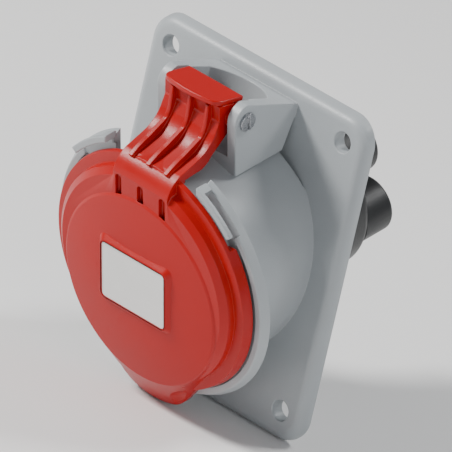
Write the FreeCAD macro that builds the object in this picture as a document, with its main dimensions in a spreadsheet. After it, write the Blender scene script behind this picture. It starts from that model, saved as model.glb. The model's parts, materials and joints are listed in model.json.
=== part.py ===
import FreeCAD, Part
import math
import os
import re
import Sketcher

# Panel mounted industrial socket with a sprung lid, 16 A, three phases, neutral and earth.
# The flange back lies on the panel in the plane Y = 0, with the centre of the four fixing holes
# at the origin, +Z up and -Y towards the user. The socket axis leaves the middle of the flange
# front and points down by the tilt angle. Lengths along that axis are called reach in front of
# the flange and depth behind it.

SIZES = [
    ("tilt", 17, "angle of the socket axis below the panel normal, degrees"),
    ("hole_span_x", 70, "fixing hole centres, across"),
    ("hole_span_z", 86, "fixing hole centres, upright"),
    ("hole_radius", 3.1, "fixing hole"),
    ("edge_x", 8.75, "flange beyond the fixing hole centres, across"),
    ("edge_z", 9.0, "flange beyond the fixing hole centres, upright"),
    ("flange_thick", 4.3, "flange"),
    ("flange_corner", 8.5, "flange corner seen from the front"),
    ("flange_round", 3.2, "rounding of the flange front edge"),
    ("gasket_thick", 1.6, "panel gasket in its groove"),
    ("gasket_width", 2.6, "panel gasket"),
    ("gasket_inset", 2.4, "panel gasket from the flange edge"),
    ("recess_deep", 0.8, "recess in the flange back round the skirt"),
    ("recess_wide", 2.2, "recess beyond the skirt"),
    ("pin_circle", 16.5, "radius of the circle of contacts"),
    ("contact_bore", 2.55, "contact bore for a 5 mm pin"),
    ("earth_bore", 3.55, "earth contact bore for a 7 mm pin"),
    ("contact_wall", 1.35, "wall of the contacts"),
    ("entry_gap", 0.2, "pin entry hole larger than the contact bore"),
    ("insert_wall", 2.2, "contact insert outside the earth contact"),
    ("shroud_gap", 5.2, "space for the plug shroud round the insert"),
    ("rim_wall", 3.4, "wall of the mouth rim"),
    ("body_wall", 5.6, "wall of the round body"),
    ("mouth_reach", 30.5, "mouth rim"),
    ("shoulder_step", 2.5, "step from the rim back to the round body"),
    ("seat_depth", 7.0, "seat of the contact insert"),
    ("skirt_step", 0.6, "skirt bore larger than the mouth bore"),
    ("skirt_wall", 1.8, "wall of the skirt behind the flange"),
    ("skirt_depth", 18.0, "skirt end"),
    ("keyway_width", 7.6, "keyway for the plug rib at six o'clock"),
    ("keyway_deep", 2.2, "keyway"),
    ("collar_gap", 8.1, "collar outside the round body"),
    ("collar_lean", 1.5, "collar smaller at its low front edge"),
    ("collar_wall", 2.2, "collar wall"),
    ("collar_step", 3.7, "low part of the collar behind the mouth rim"),
    ("web_step", 4.5, "web between body and collar, behind the mouth rim"),
    ("collar_deep", 6.6, "back face of the collar behind the mouth rim"),
    ("arm_gap", 18.4, "half width of the collar gap for the lid arm"),
    ("window_end", 40.2, "lower end of the collar window, degrees above the side"),
    ("window_past", 1, "cut of the window past its lower end, degrees"),
    ("window_start", 60.5, "upper end of the collar window, degrees above the side"),
    ("window_step", 1.3, "front of the collar window behind the mouth rim"),
    ("window_wide", 3.2, "collar window from front to back"),
    ("wall_past", 6, "collar wall beyond the window, degrees"),
    ("cut_past", 1, "cuts past the surface they open"),
    ("hinge_reach", 7.3, "hinge axis in front of the flange centre"),
    ("hinge_rise", 14.5, "hinge axis above the round body"),
    ("pin_radius", 2.0, "hinge pin"),
    ("pin_head_rim", 0.9, "hinge pin head larger than the pin"),
    ("pin_head_thick", 0.9, "hinge pin head"),
    ("washer_thick", 0.8, "washer on the hinge pin"),
    ("pin_end", 1.2, "end of the hinge pin past the left cheek"),
    ("run_gap", 0.05, "running clearance of the hinge pin"),
    ("barrel_wall", 1.8, "wall of the lid knuckles"),
    ("barrel_in", 6.8, "inner end of the lid knuckles from the middle"),
    ("side_gap", 0.35, "gap between knuckles and cheeks"),
    ("block_half", 16.0, "half width of the hinge block"),
    ("cheek_wall", 3.35, "hinge cheek"),
    ("block_nose", 4.5, "front of the hinge block before the hinge axis"),
    ("block_over", 5.3, "top of the hinge block above the hinge axis"),
    ("block_corner", 5.3, "rounding at the top front of the cheeks"),
    ("block_fall", 9.6, "fall of the block top towards the flange"),
    ("slot_lift", 2.8, "floor of the slot and well above the round body"),
    ("slot_room", 1.0, "hinge slot behind the knuckles"),
    ("well_half", 11.6, "half width of the well behind the hinge"),
    ("well_depth", 11.4, "back of the well behind the flange front centre"),
    ("well_curve", 14.5, "curve of the back of the well"),
    ("contact_inset", 4.4, "contact front end behind the insert face"),
    ("insert_inset", 1.1, "insert face behind the mouth rim"),
    ("insert_bevel", 1.0, "bevel round the insert face"),
    ("seat_fit", 0.05, "base disc smaller than the skirt bore"),
    ("disc_thick", 4.0, "base disc of the contact insert"),
    ("seal_lip", 1.2, "groove of the seat seal, deep and from the disc edge"),
    ("seal_wide", 1.6, "seat seal"),
    ("ring_thick", 4.0, "retaining ring"),
    ("ring_gap", 0.3, "gap between retaining ring and terminal base"),
    ("base_step", 3.3, "terminal base smaller than the skirt bore"),
    ("base_back", 33.8, "depth of the terminal base"),
    ("base_round", 2.3, "rounding of the terminal base"),
    ("tower_radius", 8.8, "terminal tower"),
    ("tower_long", 11.4, "terminal towers behind the terminal base"),
    ("tower_round", 1.4, "rounding of the terminal towers"),
    ("tower_wall", 2.8, "end wall of the terminal towers"),
    ("wire_radius", 2.1, "wire bore of a terminal"),
    ("wire_gap", 0.3, "wire entry larger than the wire bore"),
    ("screw_depth", 23.5, "terminal screws behind the flange front"),
    ("screw_radius", 1.5, "terminal screw shank"),
    ("screw_head", 2.4, "terminal screw head"),
    ("head_thick", 1.7, "terminal screw head"),
    ("screw_room", 0.2, "screw well wider than the screw head"),
    ("screw_tip", 0.3, "terminal screw tip short of the contact axis"),
    ("recess_rim", 0.9, "recess for the middle screw larger than its head"),
    ("recess_back", 2.4, "recess for the middle screw, from front to back"),
    ("tip_room", 0.9, "middle screw tip short of the end of its hole"),
    ("slot_width", 0.9, "slots in contacts and screw heads"),
    ("slot_deep", 0.6, "driver slots in screw heads"),
    ("slot_length", 12.0, "finger slots of the contacts"),
    ("spring_step", 3.0, "garter groove behind the contact front end"),
    ("garter_wire", 0.5, "garter groove depth, which takes the wire of the garter ring"),
    ("garter_ease", 0.025, "garter ring clear of its groove"),
    ("lid_lift", 4.1, "lid face edge in front of the mouth rim"),
    ("lid_gap", 0.3, "lid round the mouth rim"),
    ("rim_gap", 2.1, "lid rim round the round body"),
    ("lid_shell", 2.1, "lid wall"),
    ("face_inset", 2.3, "lid face smaller than the lid side"),
    ("lid_bevel", 1.6, "bevel round the lid face"),
    ("side_draft", 0.3, "draft of the lid side"),
    ("rim_draft", 0.7, "draft of the lid rim"),
    ("terrace_lift", 0.1, "lid terrace in front of the mouth rim"),
    ("lid_deep", 3.2, "lid rim end behind the mouth rim"),
    ("dome_inset", 2.1, "dome smaller than the lid face"),
    ("dome_drop", 4.8, "dome centre below the socket axis"),
    ("dome_rise", 2.8, "height of the dome"),
    ("dome_step", 0.5, "small step round the dome"),
    ("nose_deep", 0.9, "lid nose edge behind the mouth rim"),
    ("nose_long", 10.7, "tip of the lid nose beyond the lid side"),
    ("nose_half", 11.6, "half width of the lid nose"),
    ("nose_curve", 2.8, "height of the curved end of the lid nose"),
    ("nose_soft", 3.2, "corner rounding of the nose, across"),
    ("nose_blend", 0.1, "share of the nose flank in its corner rounding"),
    ("nose_round", 11.0, "corner radius of the nose"),
    ("flank_end", 25, "upper end of the nose flanks, degrees below the side"),
    ("chin_end", 68, "lower end of the chin, degrees below the side"),
    ("chin_soft", 8, "part of the chin that meets the nose corner, degrees"),
    ("label_width", 25.5, "label window"),
    ("label_height", 19.1, "label window"),
    ("label_lift", 3.4, "label frame in front of the lid face edge"),
    ("label_drop", 1.5, "label window centre below the socket axis"),
    ("label_bevel", 1.9, "bevel round the label window"),
    ("label_rim", 0.5, "flat rim of the label frame"),
    ("label_corner", 1.4, "corners of the label"),
    ("label_deep", 0.6, "recess for the label"),
    ("label_thick", 0.36, "label"),
    ("arm_half", 11.0, "half width of the lid arm"),
    ("arm_rise", 5.6, "front corner of the arm above the hinge axis"),
    ("arm_nose", 6.1, "upright front of the arm before the hinge axis"),
    ("arm_wall", 2.4, "thickness of the arm"),
    ("heel_back", 5.4, "heel of the arm behind the lid face"),
    ("heel_rise", 5.7, "heel of the arm above the lid face edge"),
    ("heel_curve", 9.0, "curve of the heel"),
    ("bend_back", 11.8, "bend of the arm behind the lid face"),
    ("bend_rise", 7.5, "bend of the arm above the lid face edge"),
    ("sweep_fall", 3.5, "end of the arm sweep below the hinge axis"),
    ("sweep_nose", 7.9, "end of the arm sweep before the hinge axis"),
    ("sweep_curve", 12.0, "curve of the sweep"),
    ("knee_nose", 9.2, "knee under the arm before the hinge axis"),
    ("knee_fall", 9.9, "knee under the arm below the hinge axis"),
    ("rib_width", 1.4, "ribs on the arm"),
    ("rib_pitch", 7.1, "ribs on the arm"),
    ("rib_high", 2.4, "ribs above the arm"),
    ("rib_share", 0.8, "share of the rib height left at the bend and at the hinge"),
    ("rib_slim", 0.6, "share of the rib height left at the heel and at the sweep"),
    ("rib_curve", 28.8, "curve of the ribs over the heel"),
    ("rib_drop", 0.6, "ribs below the top of the arm"),
    ("plate_thick", 1.6, "thumb plate"),
    ("plate_lip", 0.9, "corners of the thumb plate in front of the arm"),
    ("plate_bow", 2.0, "bow of the thumb plate front edge"),
    ("plate_deep", 9.9, "back edge of the thumb plate behind the arm front"),
    ("plate_fall", 14.5, "slope of the thumb plate, degrees"),
    ("plate_corner", 3.0, "front corners of the thumb plate"),
    ("groove_width", 2.5, "grooves above the dome"),
    ("groove_pitch", 8.85, "grooves above the dome"),
    ("groove_deep", 1.4, "grooves above the dome"),
    ("groove_end", 0.3, "top of the grooves below the lid face edge"),
    ("groove_ease", 0.08, "radius of the groove tops larger than half their width"),
    ("spring_coil", 3.1, "hinge spring, middle of the wire"),
    ("spring_wire", 0.45, "hinge spring wire radius"),
    ("spring_gap", 0.135, "gap between the turns of the hinge spring"),
    ("spring_turns", 4, "whole turns of the hinge spring"),
    ("spring_leg", 2.25, "upper leg of the hinge spring"),
    ("seal_gap", 0.1, "lid seal from the edges of the mouth rim"),
    ("seal_clear", 0.3, "lid seal in front of the mouth rim"),
    ("relief_start", 1.6, "rim relief behind the lid terrace"),
    ("relief_height", 22.0, "foot of the rim relief above the socket axis"),
]

# Sizes that follow from the ones above, so that what fits together stays together

FITS = {
    "flange_half_x": "hole_span_x / 2 + edge_x",
    "flange_half_z": "hole_span_z / 2 + edge_z",
    "contact_tube": "contact_bore + contact_wall",
    "earth_tube": "earth_bore + contact_wall",
    "insert_radius": "pin_circle + earth_tube + insert_wall",
    "mouth_radius": "insert_radius + shroud_gap",
    "rim_radius": "mouth_radius + rim_wall",
    "body_radius": "mouth_radius + body_wall",
    "shoulder_reach": "mouth_reach - shoulder_step",
    "skirt_bore": "mouth_radius + skirt_step",
    "skirt_radius": "skirt_bore + skirt_wall",
    "collar_radius": "body_radius + collar_gap",
    "collar_nose": "collar_radius - collar_lean",
    "collar_high": "mouth_reach",
    "collar_low": "mouth_reach - collar_step",
    "collar_web": "mouth_reach - web_step",
    "collar_back": "mouth_reach - collar_deep",
    "window_front": "mouth_reach - window_step",
    "window_back": "window_front - window_wide",
    "hinge_height": "body_radius + hinge_rise",
    "barrel_radius": "pin_radius + barrel_wall",
    "barrel_out": "block_half - cheek_wall - side_gap",
    "pin_head": "pin_radius + pin_head_rim",
    "block_reach": "hinge_reach + block_nose",
    "block_top": "hinge_height + block_over",
    "block_floor": "body_radius + slot_lift",
    "insert_reach": "mouth_reach - insert_inset",
    "contact_reach": "insert_reach - contact_inset",
    "spring_front": "spring_step - contact_reach",
    "disc_radius": "skirt_bore - seat_fit",
    "disc_back": "seat_depth + disc_thick",
    "seal_front": "seat_depth + seal_lip",
    "seal_back": "seal_front + seal_wide",
    "ring_back": "disc_back + ring_thick",
    "base_radius": "skirt_bore - base_step",
    "tower_back": "base_back + tower_long",
    "chamber_back": "tower_back - tower_wall",
    "recess_radius": "screw_head + recess_rim",
    "recess_floor": "base_back - recess_back",
    "lid_plane": "mouth_reach + lid_lift",
    "lid_terrace": "mouth_reach + terrace_lift",
    "lid_back": "mouth_reach - lid_deep",
    "lid_wall": "rim_radius + lid_gap + lid_shell",
    "lid_face": "lid_wall - face_inset",
    "lid_rim": "body_radius + rim_gap + lid_shell",
    "dome_radius": "lid_face - dome_inset",
    "dome_edge": "lid_plane + dome_step",
    "nose_reach": "mouth_reach - nose_deep",
    "nose_drop": "lid_wall + nose_long",
    "label_reach": "lid_plane + label_lift",
    "arm_top": "hinge_height + arm_rise",
    "arm_front": "hinge_reach + arm_nose",
    "groove_curve": "groove_width / 2 + groove_ease",
}

POLES = [
    ("contact_l1", 198),
    ("contact_l2", 126),
    ("contact_l3", 54),
    ("contact_neutral", -18),
    ("contact_earth", -90),
]

NEAR = 0.01

doc = FreeCAD.newDocument("panel_socket")
sheet = doc.addObject("Spreadsheet::Sheet", "Sizes")
for row, (alias, number, meaning) in enumerate(SIZES, start=1):
    sheet.set(f"A{row}", meaning)
    sheet.set(f"B{row}", str(number))
    sheet.setAlias(f"B{row}", alias)
doc.recompute()

ALIASES = {alias for alias, number, meaning in SIZES}
nodes = []


def linked(text):
    """Write out the fits in an expression, and put the sheet's name before every alias."""

    def spelled(found):
        word = found[0]
        if word in FITS:
            return f"({linked(FITS[word])})"
        return f"Sizes.{word}" if word in ALIASES else word

    return re.sub(r"[A-Za-z_]\w*", spelled, text)


def bind(thing, name, text):
    thing.setExpression(name, linked(text))


def number(text):
    """The present value of an expression."""
    return float(sheet.evalExpression(linked(text)))


tilt = math.radians(number("tilt"))


# Sketches: every corner and radius is a constraint bound to the sheet

def origin_plane(body, role):
    return next(part for part in body.Origin.OriginFeatures if part.Role == role)


def new_sketch(body, name, role, depth="0"):
    """A sketch on an origin plane of the body, moved along the body's Y axis for XZ_Plane."""
    sketch = body.newObject("Sketcher::SketchObject", name)
    sketch.AttachmentSupport = [(origin_plane(body, role), "")]
    sketch.MapMode = "FlatFace"
    side = "-1 * " if role == "XZ_Plane" else ""
    bind(sketch, "AttachmentOffset.Base.z", f"{side}({depth})")
    return sketch


def tilted_sketch(body, name, role, depth="0"):
    """A sketch in the housing that follows the tilted socket axis instead of the panel."""
    sketch = new_sketch(body, name, role)
    upright = role == "YZ_Plane"
    axis = FreeCAD.Vector(0, 0, 1) if upright else FreeCAD.Vector(1, 0, 0)
    sketch.AttachmentOffset = FreeCAD.Placement(FreeCAD.Vector(), FreeCAD.Rotation(axis, number("tilt")))
    bind(sketch, "AttachmentOffset.Rotation.Angle", "tilt")
    if upright:
        bind(sketch, "AttachmentOffset.Base.x", "-flange_thick")
        bind(sketch, "AttachmentOffset.Base.z", depth)
    else:
        bind(sketch, "AttachmentOffset.Base.y", f"({depth}) * sin(tilt)")
        bind(sketch, "AttachmentOffset.Base.z", f"flange_thick - ({depth}) * cos(tilt)")
    return sketch


def name_constraint(sketch, constraint, text):
    index = sketch.addConstraint(constraint)
    label = f"size{index}"
    sketch.renameConstraint(index, label)
    bind(sketch, f"Constraints.{label}", text)


def arc_between(start, end, radius, turn):
    """The arc from start to end, to the left for turn 1 and to the right for turn -1."""
    chord = end - start
    half = chord.Length / 2
    side = FreeCAD.Vector(-chord.y, chord.x, 0).normalize()
    centre = (start + end) / 2 + side * (turn * math.sqrt(max(radius ** 2 - half ** 2, 0)))
    first, last = (start, end) if turn > 0 else (end, start)
    angles = [math.atan2(p.y - centre.y, p.x - centre.x) for p in (first, last)]
    circle = Part.Circle(centre, FreeCAD.Vector(0, 0, 1), radius)
    return Part.ArcOfCircle(circle, *angles)


def add_path(sketch, corners):
    """A closed outline. A corner is (u, v), or (u, v, radius, turn) where an arc leads to it."""
    points = [FreeCAD.Vector(number(c[0]), number(c[1]), 0) for c in corners]
    ends = []
    for index, corner in enumerate(corners):
        start, end = points[index - 1], points[index]
        if len(corner) == 2:
            ends.append((sketch.addGeometry(Part.LineSegment(start, end)), 1, 2))
            continue
        radius, turn = corner[2], corner[3]
        geometry = sketch.addGeometry(arc_between(start, end, number(radius), turn))
        ends.append((geometry, 1, 2) if turn > 0 else (geometry, 2, 1))
    for index, (geometry, first, last) in enumerate(ends):
        following = ends[(index + 1) % len(ends)]
        sketch.addConstraint(Sketcher.Constraint("Coincident", geometry, last, following[0], following[1]))
    for corner, point, (geometry, first, last) in zip(corners, points, ends):
        across = Sketcher.Constraint("DistanceX", -1, 1, geometry, last, point.x)
        upward = Sketcher.Constraint("DistanceY", -1, 1, geometry, last, point.y)
        name_constraint(sketch, across, corner[0])
        name_constraint(sketch, upward, corner[1])
        if len(corner) > 2:
            name_constraint(sketch, Sketcher.Constraint("Radius", geometry, number(corner[2])), corner[2])


def add_circle(sketch, across, upward, radius):
    centre = FreeCAD.Vector(number(across), number(upward), 0)
    geometry = sketch.addGeometry(Part.Circle(centre, FreeCAD.Vector(0, 0, 1), number(radius)))
    name_constraint(sketch, Sketcher.Constraint("DistanceX", -1, 1, geometry, 3, centre.x), across)
    name_constraint(sketch, Sketcher.Constraint("DistanceY", -1, 1, geometry, 3, centre.y), upward)
    name_constraint(sketch, Sketcher.Constraint("Radius", geometry, number(radius)), radius)


def rounded_box(half_width, half_height, corner, drop="0"):
    """Corners of a rectangle with rounded corners, centred at drop below the sketch origin."""
    w, h, r = f"({half_width})", f"({half_height})", f"({corner})"
    right, left = f"{w} - {r}", f"{r} - {w}"
    top, bottom = f"{h} - {r} - {drop}", f"{r} - {h} - {drop}"
    return [
        (w, bottom, corner, 1), (w, top), (right, f"{h} - {drop}", corner, 1),
        (left, f"{h} - {drop}"), (f"-{w}", top, corner, 1),
        (f"-{w}", bottom), (left, f"-{h} - {drop}", corner, 1), (right, f"-{h} - {drop}"),
    ]


# Features

def new_body(name, tilted=True):
    """A body that becomes a node. Tilted ones have their Y axis along the socket axis."""
    body = doc.addObject("PartDesign::Body", name)
    body.Label = name
    nodes.append(body)
    if tilted:
        on_axis(body)
    return body


def on_axis(thing):
    thing.Placement = FreeCAD.Placement(
        FreeCAD.Vector(), FreeCAD.Rotation(FreeCAD.Vector(1, 0, 0), number("tilt")))
    bind(thing, "Placement.Rotation.Angle", "tilt")
    bind(thing, "Placement.Base.y", "-flange_thick")


def extrude(body, kind, sketch, length, backward=False, midplane=False):
    """A Pad or Pocket. On XZ_Plane a pad grows to the front and a pocket cuts to the back."""
    feature = body.newObject(f"PartDesign::{kind}", f"{kind}_{sketch.Name}")
    feature.Profile = sketch
    feature.Reversed = backward
    feature.Midplane = midplane
    bind(feature, "Length", length)
    doc.recompute()
    return feature


def turned(body, kind, sketch):
    """A Revolution or Groove about the horizontal axis of its sketch."""
    feature = body.newObject(f"PartDesign::{kind}", f"{kind}_{sketch.Name}")
    feature.Profile = sketch
    feature.ReferenceAxis = (sketch, ["H_Axis"])
    feature.Angle = 360
    doc.recompute()
    return feature


def rounded(body, feature, radius, test):
    """Round the edges of a feature whose middle passes the test."""
    names = []
    for index, edge in enumerate(feature.Shape.Edges, start=1):
        if test(edge):
            names.append(f"Edge{index}")
    fillet = body.newObject("PartDesign::Fillet", f"Fillet_{feature.Name}")
    fillet.Base = (feature, names)
    bind(fillet, "Radius", radius)
    doc.recompute()
    return fillet


# Housing: flange, round body, collar and hinge block in one moulding

def build_housing():
    body = new_body("housing", tilted=False)
    add_flange(body)
    add_round_body(body)
    add_hinge_block(body)
    bore_mouth(body)
    shape_collar(body)
    cut_hinge_slot(body)


def add_flange(body):
    outline = new_sketch(body, "flange_outline", "XZ_Plane")
    add_path(outline, rounded_box("flange_half_x", "flange_half_z", "flange_corner"))
    plate = extrude(body, "Pad", outline, "flange_thick")
    plate.UseCustomVector = True
    plate.AlongSketchNormal = True
    plate.Direction = FreeCAD.Vector(0, -math.cos(tilt), -math.sin(tilt))
    doc.recompute()
    front = -number("flange_thick")
    rounded(body, plate, "flange_round", lambda edge: all(abs(v.Y - front) < NEAR for v in edge.Vertexes))
    groove = new_sketch(body, "gasket_groove", "XZ_Plane")
    gasket_outline(groove)
    extrude(body, "Pocket", groove, "gasket_thick", backward=True)


def gasket_outline(sketch):
    for inset in ("gasket_inset", "(gasket_inset + gasket_width)"):
        add_path(sketch, rounded_box(
            f"flange_half_x - {inset}", f"flange_half_z - {inset}", f"flange_corner - {inset}"))


def add_round_body(body):
    outside = tilted_sketch(body, "round_body", "YZ_Plane")
    add_path(outside, [
        ("-mouth_reach", "0"), ("-mouth_reach", "rim_radius"), ("-shoulder_reach", "rim_radius"),
        ("-shoulder_reach", "body_radius"), ("-collar_web", "body_radius"),
        ("-collar_web", "collar_nose - collar_wall"), ("-collar_low", "collar_nose - collar_wall"),
        ("-collar_low", "collar_nose"), ("-collar_back", "collar_radius"),
        ("-collar_back", "body_radius"), ("seat_depth", "body_radius"), ("seat_depth", "0")])
    turned(body, "Revolution", outside)
    behind = new_sketch(body, "panel_side", "XZ_Plane")
    add_circle(behind, "0", "0", "body_radius * 2")
    extrude(body, "Pocket", behind, "body_radius")
    recess = new_sketch(body, "back_recess", "XZ_Plane")
    add_circle(recess, "0", "flange_thick * tan(tilt)", "skirt_radius / cos(tilt) + recess_wide")
    extrude(body, "Pocket", recess, "recess_deep", backward=True)
    skirt = tilted_sketch(body, "skirt", "YZ_Plane")
    add_path(skirt, [
        ("-flange_thick", "0"), ("-flange_thick", "skirt_radius"),
        ("skirt_depth", "skirt_radius"), ("skirt_depth", "0")])
    turned(body, "Revolution", skirt)


def add_hinge_block(body):
    side = tilted_sketch(body, "block_side", "YZ_Plane")
    inside = "body_radius - body_wall / 2"
    add_path(side, [
        ("hinge_reach", inside),
        ("(block_top - block_fall) * tan(tilt) + cut_past", "block_top - block_fall"),
        ("block_corner - block_reach", "block_top"),
        ("-block_reach", "block_top - block_corner", "block_corner", 1), ("-block_reach", inside)])
    extrude(body, "Pad", side, "block_half * 2", midplane=True)


def bore_mouth(body):
    bore = tilted_sketch(body, "mouth_bore", "YZ_Plane")
    add_path(bore, [
        ("-mouth_reach", "0"), ("-mouth_reach", "mouth_radius"), ("seat_depth", "mouth_radius"),
        ("seat_depth", "skirt_bore"), ("skirt_depth", "skirt_bore"), ("skirt_depth", "0")])
    turned(body, "Groove", bore)
    keyway = tilted_sketch(body, "keyway", "XZ_Plane", "-mouth_reach")
    add_path(keyway, rounded_box("keyway_width / 2", "keyway_deep", "keyway_deep / 4", "mouth_radius"))
    extrude(body, "Pocket", keyway, "mouth_reach")
    holes = new_sketch(body, "fixing_holes", "XZ_Plane", "-flange_thick")
    for across in ("-hole_span_x / 2", "hole_span_x / 2"):
        for upward in ("-hole_span_z / 2", "hole_span_z / 2"):
            add_circle(holes, across, upward, "hole_radius")
    extrude(body, "Pocket", holes, "flange_thick * 2")


def polar(radius, angle, mirror=1):
    sign = "-" if mirror < 0 else ""
    return f"{sign}({radius}) * cos({angle})", f"({radius}) * sin({angle})"


def sector(inner, outer, low, high, mirror=1):
    """Corners of a ring sector between two angles above the side, mirrored for -1."""
    return [
        polar(inner, low, mirror) + (inner, -mirror), polar(outer, low, mirror),
        polar(outer, high, mirror) + (outer, mirror), polar(inner, high, mirror)]


def shape_collar(body):
    walls = tilted_sketch(body, "collar_walls", "XZ_Plane", "-collar_back - collar_wall")
    windows = tilted_sketch(body, "collar_windows", "XZ_Plane", "-window_front")
    inner = "collar_radius - collar_wall"
    for mirror in (1, -1):
        add_path(walls, sector(inner, "collar_radius", "window_end", "window_start + wall_past", mirror))
        add_path(windows, sector("collar_nose - collar_wall", "collar_radius + collar_wall / 2",
                                 "window_end - window_past", "window_start", mirror))
    extrude(body, "Pad", walls, "collar_high - collar_back - collar_wall")
    extrude(body, "Pocket", windows, "window_front - window_back")
    gap = tilted_sketch(body, "collar_gap", "XZ_Plane", "-collar_high - cut_past")
    edge = "sqrt(body_radius^2 - arm_gap^2)"
    top = "collar_radius + collar_wall"
    add_path(gap, [
        ("arm_gap", edge, "body_radius", -1), ("arm_gap", top), ("-arm_gap", top), ("-arm_gap", edge)])
    extrude(body, "Pocket", gap, "collar_high + cut_past - collar_back")


def cut_hinge_slot(body):
    slot = tilted_sketch(body, "hinge_slot", "YZ_Plane")
    front, top = "-block_reach - cut_past", "block_top + cut_past"
    back = "barrel_radius - hinge_reach + slot_room"
    add_path(slot, [(front, "block_floor"), (back, "block_floor"), (back, top), (front, top)])
    extrude(body, "Pocket", slot, "(block_half - cheek_wall) * 2", midplane=True)
    well = new_sketch(body, "well", "XY_Plane", "block_top + block_over")
    back = "well_depth * cos(tilt) - hinge_height * sin(tilt) - flange_thick"
    front = "-(hinge_reach + flange_thick) * cos(tilt) - hinge_height * sin(tilt)"
    add_path(well, [
        ("well_half", front), ("well_half", f"{back} - well_half / 2"),
        ("0", back, "well_curve", 1),
        ("-well_half", f"{back} - well_half / 2", "well_curve", 1), ("-well_half", front)])
    extrude(body, "Pocket", well, "block_top + block_over - block_floor * cos(tilt)")
    pin = tilted_sketch(body, "pin_hole", "YZ_Plane", "block_half")
    add_circle(pin, "-hinge_reach", "hinge_height", "pin_radius")
    extrude(body, "Pocket", pin, "block_half * 2")


# Parts behind the mouth

def pole_radius(name, phase, earth):
    return earth if name == "contact_earth" else phase


def pole_centre(angle):
    return f"pin_circle * cos({angle})", f"pin_circle * sin({angle})"


def build_insert():
    """The face with the five entries, and the disc that seats it in the housing."""
    body = new_body("contact_insert")
    profile = new_sketch(body, "insert_profile", "YZ_Plane")
    add_path(profile, [
        ("-insert_reach", "0"), ("-insert_reach", "insert_radius - insert_bevel"),
        ("insert_bevel - insert_reach", "insert_radius"), ("seat_depth", "insert_radius"),
        ("seat_depth", "disc_radius"), ("seal_front", "disc_radius"),
        ("seal_front", "disc_radius - seal_lip"), ("seal_back", "disc_radius - seal_lip"),
        ("seal_back", "disc_radius"), ("disc_back", "disc_radius"), ("disc_back", "0")])
    turned(body, "Revolution", profile)
    entries = new_sketch(body, "pin_entries", "XZ_Plane", "-insert_reach")
    chambers = new_sketch(body, "chambers", "XZ_Plane", "disc_back")
    for name, angle in POLES:
        bore = pole_radius(name, "contact_bore", "earth_bore")
        tube = pole_radius(name, "contact_tube", "earth_tube")
        add_circle(entries, *pole_centre(angle), f"{bore} + entry_gap")
        add_circle(chambers, *pole_centre(angle), tube)
    extrude(body, "Pocket", entries, "insert_reach")
    extrude(body, "Pocket", chambers, "disc_back + contact_reach", backward=True)
    middle = new_sketch(body, "middle_thread", "XZ_Plane", "disc_back")
    add_circle(middle, "0", "0", "screw_radius")
    extrude(body, "Pocket", middle, "disc_back", backward=True)


def build_terminal_base():
    body = new_body("terminal_base")
    profile = new_sketch(body, "base_profile", "YZ_Plane")
    add_path(profile, [
        ("disc_back", "0"), ("disc_back", "base_radius"), ("base_back - base_round", "base_radius"),
        ("base_back", "base_radius - base_round", "base_round", -1), ("base_back", "0")])
    turned(body, "Revolution", profile)
    towers = new_sketch(body, "towers", "XZ_Plane", "base_back")
    for name, angle in POLES:
        add_circle(towers, *pole_centre(angle), "tower_radius")
    pads = extrude(body, "Pad", towers, "tower_back - base_back", backward=True)
    end = number("tower_back")
    rounded(body, pads, "tower_round", lambda edge: abs(edge.CenterOfMass.y - end) < NEAR)
    chambers = new_sketch(body, "chambers", "XZ_Plane", "disc_back")
    wires = new_sketch(body, "wire_entries", "XZ_Plane", "disc_back")
    for name, angle in POLES:
        add_circle(chambers, *pole_centre(angle), pole_radius(name, "contact_tube", "earth_tube"))
        add_circle(wires, *pole_centre(angle), "wire_radius + wire_gap")
    extrude(body, "Pocket", chambers, "chamber_back - disc_back")
    extrude(body, "Pocket", wires, "tower_back")
    cut_middle_screw(body)
    for name, angle in POLES:
        cut_screw_well(body, name, angle)


def cut_middle_screw(body):
    recess = new_sketch(body, "middle_recess", "YZ_Plane")
    add_path(recess, [
        ("disc_back", "0"), ("disc_back", "screw_radius"), ("recess_floor", "screw_radius"),
        ("recess_floor", "recess_radius"), ("base_back", "recess_radius"), ("base_back", "0")])
    turned(body, "Groove", recess)


def radial_sketch(body, name, radius, angle):
    """A sketch on a plane across the radius at an angle above the side."""
    sketch = new_sketch(body, name, "XY_Plane")
    turn = FreeCAD.Rotation(FreeCAD.Vector(0, 1, 0), 90 - angle)
    sketch.AttachmentOffset = FreeCAD.Placement(FreeCAD.Vector(), turn)
    bind(sketch, "AttachmentOffset.Base.x", f"({radius}) * cos({angle})")
    bind(sketch, "AttachmentOffset.Base.z", f"({radius}) * sin({angle})")
    return sketch


def cut_screw_well(body, name, angle):
    """A round well from the side of the base to the terminal screw of one pole."""
    well = radial_sketch(body, f"screw_well_{name}", "base_radius + cut_past", angle)
    add_circle(well, "0", "screw_depth", "screw_head + screw_room")
    extrude(body, "Pocket", well, "base_radius + cut_past - pin_circle")


def build_contact(name, angle):
    """A turned contact: slotted socket at the front, wire bore with a cross thread behind."""
    bore = pole_radius(name, "contact_bore", "earth_bore")
    tube = pole_radius(name, "contact_tube", "earth_tube")
    body = new_body(name)
    at_pole(body, angle)
    groove_end = "spring_front + garter_wire * 2"
    profile = new_sketch(body, "profile", "YZ_Plane")
    add_path(profile, [
        ("-contact_reach", bore), ("-contact_reach", tube), ("spring_front", tube),
        ("spring_front", f"{tube} - garter_wire"), (groove_end, f"{tube} - garter_wire"),
        (groove_end, tube), ("chamber_back", tube), ("chamber_back", "wire_radius"),
        ("disc_back", "wire_radius"), ("disc_back", "0"), ("0", "0"), ("0", bore)])
    turned(body, "Revolution", profile)
    cut_finger_slots(body)
    thread = radial_sketch(body, "thread", f"{tube} + cut_past", angle)
    add_circle(thread, "0", "screw_depth", "screw_radius")
    extrude(body, "Pocket", thread, f"{tube} + cut_past")


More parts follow.
